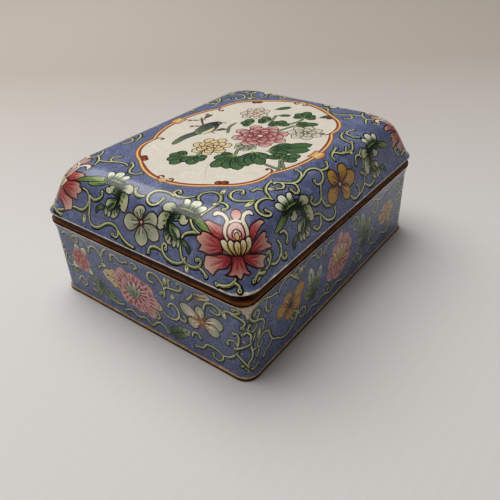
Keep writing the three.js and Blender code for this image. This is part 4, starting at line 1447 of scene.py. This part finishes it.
class Finish:
    """A node material for one finish of the box."""

    def __init__(self, name):
        self.data = bpy.data.materials.new(name)
        self.data.use_nodes = True
        self.tree = self.data.node_tree
        self.shader = self.tree.nodes["Principled BSDF"]

    def node(self, kind, settings, *values, output=0, **named):
        """Adds any node: its settings first, then the values or links of its sockets."""
        node = self.tree.nodes.new(kind)
        for setting, value in settings.items():
            if setting == "stops":
                ramp = node.color_ramp.elements
                while len(ramp) < len(value):
                    ramp.new(0.5)
                for element, (place, colour) in zip(ramp, value):
                    element.position = place
                    element.color = (*colour, 1)
            else:
                setattr(node, setting, value)
        for key, value in [*enumerate(values), *named.items()]:
            self.plug(node.inputs[key.replace("_", " ") if isinstance(key, str) else key], value)
        return Socket(self, node.outputs[output])

    def plug(self, socket, value):
        """Gives a socket its value, or links it."""
        if isinstance(value, Socket):
            self.tree.links.new(value.link, socket)
        else:
            socket.default_value = value

    def noise(self, size, detail=3.0, roughness=0.55, swirl=0.0):
        """Soft random grain, from 0 to 1, of a size in millimetres."""
        place = self.node("ShaderNodeTexCoord", {}, output="Object")
        return self.node("ShaderNodeTexNoise", {}, Vector=place, Scale=1 / (size * MM),
                         Detail=detail, Roughness=roughness, Distortion=swirl)

    def ramp(self, value, *stops):
        """Colours laid out along a value from 0 to 1."""
        return self.node("ShaderNodeValToRGB", {"stops": stops}, value)

    def mix(self, share, first, second, blend="MIX"):
        """One colour mixed or blended into another."""
        node = self.tree.nodes.new("ShaderNodeMix")
        node.data_type = "RGBA"
        node.blend_type = blend
        self.plug(node.inputs["Factor"], share)
        self.plug(node.inputs[6], first if isinstance(first, Socket) else (*first, 1))
        self.plug(node.inputs[7], second if isinstance(second, Socket) else (*second, 1))
        return Socket(self, node.outputs[2])

    def bump(self, height, depth):
        """A surface that rises and falls with a value, up to a depth in millimetres."""
        normal = self.node("ShaderNodeBump", {}, Height=height, Distance=depth * MM, Strength=1.0)
        self.plug(self.shader.inputs["Normal"], normal)

    def surface(self, **values):
        """Sets the shader's own sockets."""
        for name, value in values.items():
            self.plug(self.shader.inputs[name.replace("_", " ")], value)
        return self.data


def painted_enamel():
    """The painted outside: opaque enamel colours under a soft, slightly uneven gloss.

    The paint's alpha is 1 on the plain ground, which is cloudier and grainier than the motifs.
    """
    finish = Finish("painted_enamel")
    paint = finish.node("ShaderNodeAttribute", {"attribute_name": "paint"}, output="Color")
    ground = finish.node("ShaderNodeAttribute", {"attribute_name": "paint"}, output="Alpha")
    cloud = finish.noise(6, 4, 0.62, 1.8)
    speck = finish.noise(0.6, 4, 0.75)
    tint = finish.ramp(cloud, (0.26, (0.6, 0.64, 0.72)), (0.44, (0.9, 0.9, 0.94)),
                       (0.58, (1.1, 1.12, 1.1)), (0.74, (1.9, 1.84, 1.6)))
    grain = finish.ramp(speck, (0.25, (0.55, 0.55, 0.58)), (0.5, (1, 1, 1)), (0.78, (1.5, 1.48, 1.4)))
    colour = finish.mix(ground * 0.85 + 0.15, paint, tint, "MULTIPLY")
    colour = finish.mix(ground * 0.75 + 0.25, colour, grain, "MULTIPLY")
    finish.bump(finish.noise(2.2, 3), 0.03)
    return finish.surface(Base_Color=colour, Roughness=speck * 0.2 + 0.18, Specular_IOR_Level=0.4,
                          Coat_Weight=0.3, Coat_Roughness=0.13)


def counter_enamel(tone):
    """The plain enamel inside the box and under it, speckled from the firing."""
    finish = Finish("counter_enamel")
    cloud = finish.noise(14, 3)
    speck = finish.noise(0.7, 2)
    colour = finish.mix(cloud, tone, tuple(0.8 * part for part in tone))
    pits = finish.ramp(speck, (0.66, (1, 1, 1)), (0.74, (0.55, 0.5, 0.45)))
    finish.bump(finish.noise(3, 3), 0.06)
    return finish.surface(Base_Color=finish.mix(1.0, colour, pits, "MULTIPLY"),
                          Roughness=cloud * 0.15 + 0.25)


def bare_copper(name, tone, gap=None):
    """Old copper: brown and streaked along it. Given the heights of a gap, it is painted black upwards
    between them, as painted shade in the gap under the lid's lip.
    """
    finish = Finish(name)
    place = finish.node("ShaderNodeTexCoord", {}, output="Object")
    long = finish.node("ShaderNodeVectorMath", {"operation": "MULTIPLY"}, place, (1, 1, 9),
                       output="Vector")
    streak = finish.node("ShaderNodeTexNoise", {}, Vector=long, Scale=160.0, Detail=5.0,
                         Roughness=0.7)
    fine = finish.noise(0.6, 3)
    tone = np.array(tone)
    colour = finish.ramp(streak, (0.3, tone * 0.16), (0.47, tone * 0.6), (0.58, tone),
                         (0.75, np.minimum(tone * 2.1, 1)))
    # Painted shade: the copper goes black upwards through the gap under the lid's lip, where its shadow
    # falls.
    if gap:
        low, high = gap
        height = finish.node("ShaderNodeSeparateXYZ", {}, place, output="Z")
        edge = (height - low * MM) * (1 / ((high - low) * MM)) + (streak - 0.5) * 0.5
        shade = finish.ramp(edge, (0.3, (1, 1, 1)), (0.75, (0.05, 0.03, 0.02)))
        colour = finish.mix(1.0, colour, shade, "MULTIPLY")
    finish.bump(fine, 0.05)
    return finish.surface(Base_Color=colour, Metallic=0.7 - fine * 0.5, Roughness=fine * 0.35 + 0.4)


# Pieces

SHARP_ANGLE = radians(32)


def select_only(piece):
    """Leaves one piece selected and active."""
    bpy.ops.object.select_all(action="DESELECT")
    piece.select_set(True)
    bpy.context.view_layer.objects.active = piece


def pick_faces(piece, wanted):
    """Selects, in edit mode, the faces whose middle and normal are wanted."""
    bpy.ops.object.mode_set(mode="EDIT")
    bpy.ops.mesh.select_all(action="DESELECT")
    bpy.ops.mesh.select_mode(type="FACE")
    shape = bmesh.from_edit_mesh(piece.data)
    for face in shape.faces:
        face.select_set(bool(wanted(face.calc_center_median() / MM, face.normal)))
    bmesh.update_edit_mesh(piece.data)


def undercoat(node, name, painted, coat):
    """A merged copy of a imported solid, its painted outside drawn in by the enamel's thickness."""
    piece = bpy.data.objects.new(name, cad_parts[node].data.copy())
    bpy.context.collection.objects.link(piece)
    piece.data.materials.clear()
    select_only(piece)
    bpy.ops.object.mode_set(mode="EDIT")
    bpy.ops.mesh.select_all(action="SELECT")
    bpy.ops.mesh.remove_doubles(threshold=1e-6)
    bpy.ops.mesh.tris_convert_to_quads()
    pick_faces(piece, painted)
    bpy.ops.transform.shrink_fatten(value=-coat)
    bpy.ops.object.mode_set(mode="OBJECT")
    bpy.ops.object.shade_smooth_by_angle(angle=SHARP_ANGLE)
    return piece


def give(piece, *surfaces):
    """Gives a piece its finishes in slots, the first one everywhere."""
    for surface in surfaces:
        piece.data.materials.append(surface)


def lay_finish(piece, slot, wanted):
    """Puts the finish of a slot on the faces that are wanted."""
    pick_faces(piece, wanted)
    piece.active_material_index = slot
    bpy.ops.object.material_slot_assign()
    bpy.ops.object.mode_set(mode="OBJECT")


def settle(piece, slot, *nodes):
    """Rides a finished piece on the box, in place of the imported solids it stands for."""
    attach(piece, "root")
    if nodes:
        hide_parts(*nodes)


class BoxSizes(PropertyGroup):
    coat: FloatProperty(name="Enamel coat", description="Thickness of the painted enamel",
                        default=0.15 * MM, unit="LENGTH")


class BoxColours(PropertyGroup):
    copper: FloatVectorProperty(name="Copper", description="Bare copper rims and collar",
                                subtype="COLOR", size=3, default=srgb(168, 104, 56))
    inside: FloatVectorProperty(name="Inside", description="Plain enamel inside and under the box",
                                subtype="COLOR", size=3, default=srgb(150, 186, 188))
    floor: FloatVectorProperty(name="Floor", description="Floor that the box stands on",
                               subtype="COLOR", size=3, default=srgb(217, 217, 218))


class StageLight(PropertyGroup):
    key: FloatProperty(name="Key light", description="Power of the large soft light",
                       default=16.3, unit="POWER")
    fill: FloatProperty(name="Surround", description="Strength of the light from all round",
                        default=0.155)


class BuildBase(Operator):
    """Adds the base's copper body, with plain enamel inside and under it and a bare foot"""
    bl_idname = "canton_box.base_body"
    bl_label = "Base body"

    def execute(self, context):
        sizes = context.scene.canton_sizes

        def painted(centre, normal):
            reach = max(abs(centre.x) - BASE_WIDTH / 2, abs(centre.y) - BASE_LENGTH / 2)
            return FOOT_EDGE < centre.z < BASE_TOP - TOUCH and reach > -BASE_WALL and (
                normal.x * centre.x >= -1e-6 and normal.y * centre.y >= -1e-6)
        piece = undercoat("base", "base_body", painted, sizes.coat)
        give(piece, finishes["inside"], finishes["copper"])
        lay_finish(piece, 1, lambda centre, normal: (centre.z < FOOT_EDGE and (
            abs(centre.x) > BASE_WIDTH / 2 - FOOT_RIM or abs(centre.y) > BASE_LENGTH / 2 - FOOT_RIM))
            or centre.z > BASE_TOP - MOUTH_EDGE)
        settle(piece, "bare_copper", "base")
        return {"FINISHED"}


class BuildLid(Operator):
    """Adds the lid's copper body, with plain enamel inside it and a bare rim"""
    bl_idname = "canton_box.lid_body"
    bl_label = "Lid body"

    def execute(self, context):
        sizes = context.scene.canton_sizes

        def painted(centre, normal):
            sideways = normal.x * centre.x + normal.y * centre.y
            return centre.z > LIP + TOUCH and sideways >= -1e-9 and normal.z > 0.01
        piece = undercoat("lid", "lid_body", painted, sizes.coat)
        give(piece, finishes["inside"], finishes["gap"])
        # The lid's rim takes the copper with painted shade in the gap under its lip.
        lay_finish(piece, 1, lambda centre, normal: centre.z < LIP + TOUCH and (
            normal.x * centre.x + normal.y * centre.y > 0.1 or abs(normal.z) > 0.9))
        settle(piece, "bare_copper", "lid")
        return {"FINISHED"}


class BuildCollar(Operator):
    """Adds the copper collar: the bead between base and lid, and the strip that guides the lid"""
    bl_idname = "canton_box.collar"
    bl_label = "Copper collar"

    def execute(self, context):
        piece = undercoat("rim_collar", "copper_collar", lambda centre, normal: False, 0)
        # The collar takes the copper with painted shade in the gap under the lid's lip.
        give(piece, finishes["gap"])
        settle(piece, "bare_copper", "rim_collar")
        return {"FINISHED"}


class PaintLid(Operator):
    """Paints the lid: the framed picture on top and the flowering scrolls round it"""
    bl_idname = "canton_box.lid_enamel"
    bl_label = "Lid enamel"

    def execute(self, context):
        coat = context.scene.canton_sizes.coat / MM
        # Where the lip's curl meets the side the lid is hollow, so the inner side follows that line.
        coarse = net((-LID_RING_X, LID_RING_X), (-LID_RING_Y, LID_RING_Y), HIDDEN_NET)
        coarse += [point for rise in (0.4, 1.0, 1.8)
                   for point in spaced(lid_ring(CURL_RUN * rise), HIDDEN_NET / 2).tolist()]
        piece = skin("lid_enamel", lid_drawing(), fold_lid, coat, np.zeros(2), spread_lid, coarse)
        give(piece, finishes["paint"])
        settle(piece, "lid_enamel")
        return {"FINISHED"}


class PaintBase(Operator):
    """Paints the flowering scrolls round the base"""
    bl_idname = "canton_box.base_enamel"
    bl_label = "Base enamel"

    def execute(self, context):
        coat = context.scene.canton_sizes.coat / MM

        def is_seam(place):
            return place[0] < STRIP_START + 1e-4 or place[0] > STRIP_END - 1e-4
        drawing = base_drawing()
        coarse = [point for point in drawing.loose[::3] if not is_seam(point)]
        middle = np.array([(STRIP_START + STRIP_END) / 2, BASE_SLANT / 2])
        piece = skin("base_enamel", drawing, fold_base, coat, middle, spread_base, coarse, is_seam)
        give(piece, finishes["paint"])
        settle(piece, "base_enamel")
        return {"FINISHED"}


# The camera, fitted to the box in the photograph's frame, and its distances in millimetres
CAMERA_AZIMUTH = radians(38.526)
CAMERA_ELEVATION = radians(35.06)
CAMERA_ROLL = radians(-2.657)
CAMERA_DISTANCE = 194.884
CAMERA_ASIDE = (0.565, -1.778)
FOCAL_PIXELS = 529.711
FRAME_PIXELS = 500
CENTRE_PIXEL = (246.179, 257.712)
SENSOR_WIDTH = 36

# The lights and the floor, in metres, with the floor's painted shade: how much darker and warmer it grows
# to the back, and how much darker to the side away from the key light
FLOOR_SIZE = 6
FAR_SHADE_TINT = np.array((0.72, 0.66, 0.60))
SIDE_SHADE_TINT = (0.93, 0.93, 0.93)
WHITE = (1, 1, 1)
KEY_PLACE = (-0.52, 0.06, 1.2)
KEY_AIM = (0, 0, 0.02)
KEY_SIZE = 1.5
KEY_TINT = (1.0, 0.97, 0.93)
SURROUND_TINT = (1.0, 0.95, 0.90, 1)


def floor_cloth(tone):
    """The pale floor, with a faint weave. Painted shade darkens and warms it to the back, and darkens it
    on the side away from the key light.
    """
    finish = Finish("floor")
    place = finish.node("ShaderNodeTexCoord", {}, output="Object")
    depth = finish.node("ShaderNodeVectorMath", {"operation": "DOT_PRODUCT"}, place,
                        (-0.62, 0.78, 0), output="Value")
    aside = finish.node("ShaderNodeVectorMath", {"operation": "DOT_PRODUCT"}, place,
                        (0.78, 0.62, 0), output="Value")
    # Painted shade: darker and warmer with distance to the back.
    far = finish.ramp(depth * 2.2 + 0.2, (0.2, tone), (0.75, tone * FAR_SHADE_TINT))
    # Painted shade: darker on the side away from the key light.
    left = finish.ramp(0.5 - aside * 2, (0.35, SIDE_SHADE_TINT), (0.8, WHITE))
    finish.bump(finish.node("ShaderNodeTexVoronoi", {"feature": "F1"}, Vector=place, Scale=260.0,
                            Randomness=0.15, output="Distance"), 0.07)
    return finish.surface(Base_Color=finish.mix(1.0, far, left, "MULTIPLY"), Roughness=0.75)


def add_floor(tone):
    """Adds the floor that the box stands on."""
    bpy.ops.mesh.primitive_plane_add(size=FLOOR_SIZE, location=(0, 0, 0))
    floor = bpy.context.object
    floor.name = "floor"
    give(floor, floor_cloth(np.array(tone)))


def add_lights(scene, light):
    """Adds the large soft light, and the weaker light from all round."""
    bpy.ops.object.light_add(type="AREA", location=KEY_PLACE)
    key = bpy.context.object
    key.name = "key_light"
    key.data.shape = "DISK"
    key.data.size = KEY_SIZE
    key.data.energy = light.key
    key.data.color = KEY_TINT
    key.rotation_euler = (Vector(KEY_AIM) - key.location).to_track_quat("-Z", "Y").to_euler()

    world = bpy.data.worlds.new("surround")
    scene.world = world
    world.use_nodes = True
    background = world.node_tree.nodes["Background"].inputs
    background["Color"].default_value = SURROUND_TINT
    background["Strength"].default_value = light.fill


def add_camera(scene):
    """Adds the camera, where it sees the box as the photograph does."""
    back = Vector((sin(CAMERA_AZIMUTH) * cos(CAMERA_ELEVATION),
                   -cos(CAMERA_AZIMUTH) * cos(CAMERA_ELEVATION), sin(CAMERA_ELEVATION)))
    across = Vector((0, 0, 1)).cross(back).normalized()
    upright = back.cross(across)
    right = cos(CAMERA_ROLL) * across + sin(CAMERA_ROLL) * upright
    up = cos(CAMERA_ROLL) * upright - sin(CAMERA_ROLL) * across
    turn = Matrix((right, up, back)).transposed()
    place = turn @ Vector((*CAMERA_ASIDE, CAMERA_DISTANCE)) * MM
    bpy.ops.object.camera_add(location=place, rotation=turn.to_euler())
    camera = bpy.context.object
    camera.name = "camera"
    lens = camera.data
    lens.sensor_width = SENSOR_WIDTH
    lens.lens = SENSOR_WIDTH * FOCAL_PIXELS / FRAME_PIXELS
    lens.shift_x = (FRAME_PIXELS / 2 - CENTRE_PIXEL[0]) / FRAME_PIXELS
    lens.shift_y = (CENTRE_PIXEL[1] - FRAME_PIXELS / 2) / FRAME_PIXELS
    lens.clip_start = 0.01
    scene.camera = camera


class BuildStage(Operator):
    """Adds the floor, the soft lights and the camera"""
    bl_idname = "canton_box.stage"
    bl_label = "Stage"

    def execute(self, context):
        scene = context.scene
        bpy.ops.object.select_all(action="DESELECT")
        add_floor(scene.canton_colours.floor)
        add_lights(scene, scene.canton_light)
        add_camera(scene)
        scene.view_settings.view_transform = "Standard"
        scene.view_settings.look = "Medium High Contrast"
        return {"FINISHED"}


OPERATORS = (BuildBase, BuildCollar, BuildLid, PaintBase, PaintLid, BuildStage)


class BoxPanel(Panel):
    """Lists the box's sizes, colours and pieces"""
    bl_idname = "VIEW3D_PT_canton_box"
    bl_label = "Canton box"
    bl_space_type = "VIEW_3D"
    bl_region_type = "UI"
    bl_category = "Canton box"

    def draw(self, context):
        for group in (context.scene.canton_sizes, context.scene.canton_colours,
                      context.scene.canton_light):
            for name in group.__annotations__:
                self.layout.prop(group, name)
        for operator in OPERATORS:
            self.layout.operator(operator.bl_idname)


CLASSES = (BoxSizes, BoxColours, StageLight, *OPERATORS, BoxPanel)
finishes = {}


def register():
    for each in CLASSES:
        bpy.utils.register_class(each)
    bpy.types.Scene.canton_sizes = PointerProperty(type=BoxSizes)
    bpy.types.Scene.canton_colours = PointerProperty(type=BoxColours)
    bpy.types.Scene.canton_light = PointerProperty(type=StageLight)


def unregister():
    del bpy.types.Scene.canton_light
    del bpy.types.Scene.canton_colours
    del bpy.types.Scene.canton_sizes
    for each in reversed(CLASSES):
        bpy.utils.unregister_class(each)


# How dark the foot's copper is beside the collar's, and the heights between which the copper is painted
# black as shade in the gap under the lid's lip
FOOT_DARKNESS = 0.35
GAP_SHADE_HEIGHTS = (LID_FOOT - 0.4, LID_FOOT + 0.3)


def main():
    """Builds the pieces and the stage."""
    register()
    colours = bpy.context.scene.canton_colours
    finishes.update(
        paint=painted_enamel(),
        inside=counter_enamel(tuple(colours.inside)),
        copper=bare_copper("old_copper", tuple(FOOT_DARKNESS * part for part in colours.copper)),
        gap=bare_copper("gap_copper", tuple(colours.copper), GAP_SHADE_HEIGHTS),
    )
    bpy.ops.canton_box.base_body()
    bpy.ops.canton_box.collar()
    bpy.ops.canton_box.lid_body()
    bpy.ops.canton_box.base_enamel()
    bpy.ops.canton_box.lid_enamel()
    bpy.ops.canton_box.stage()


if __name__ == "__main__":
    main()
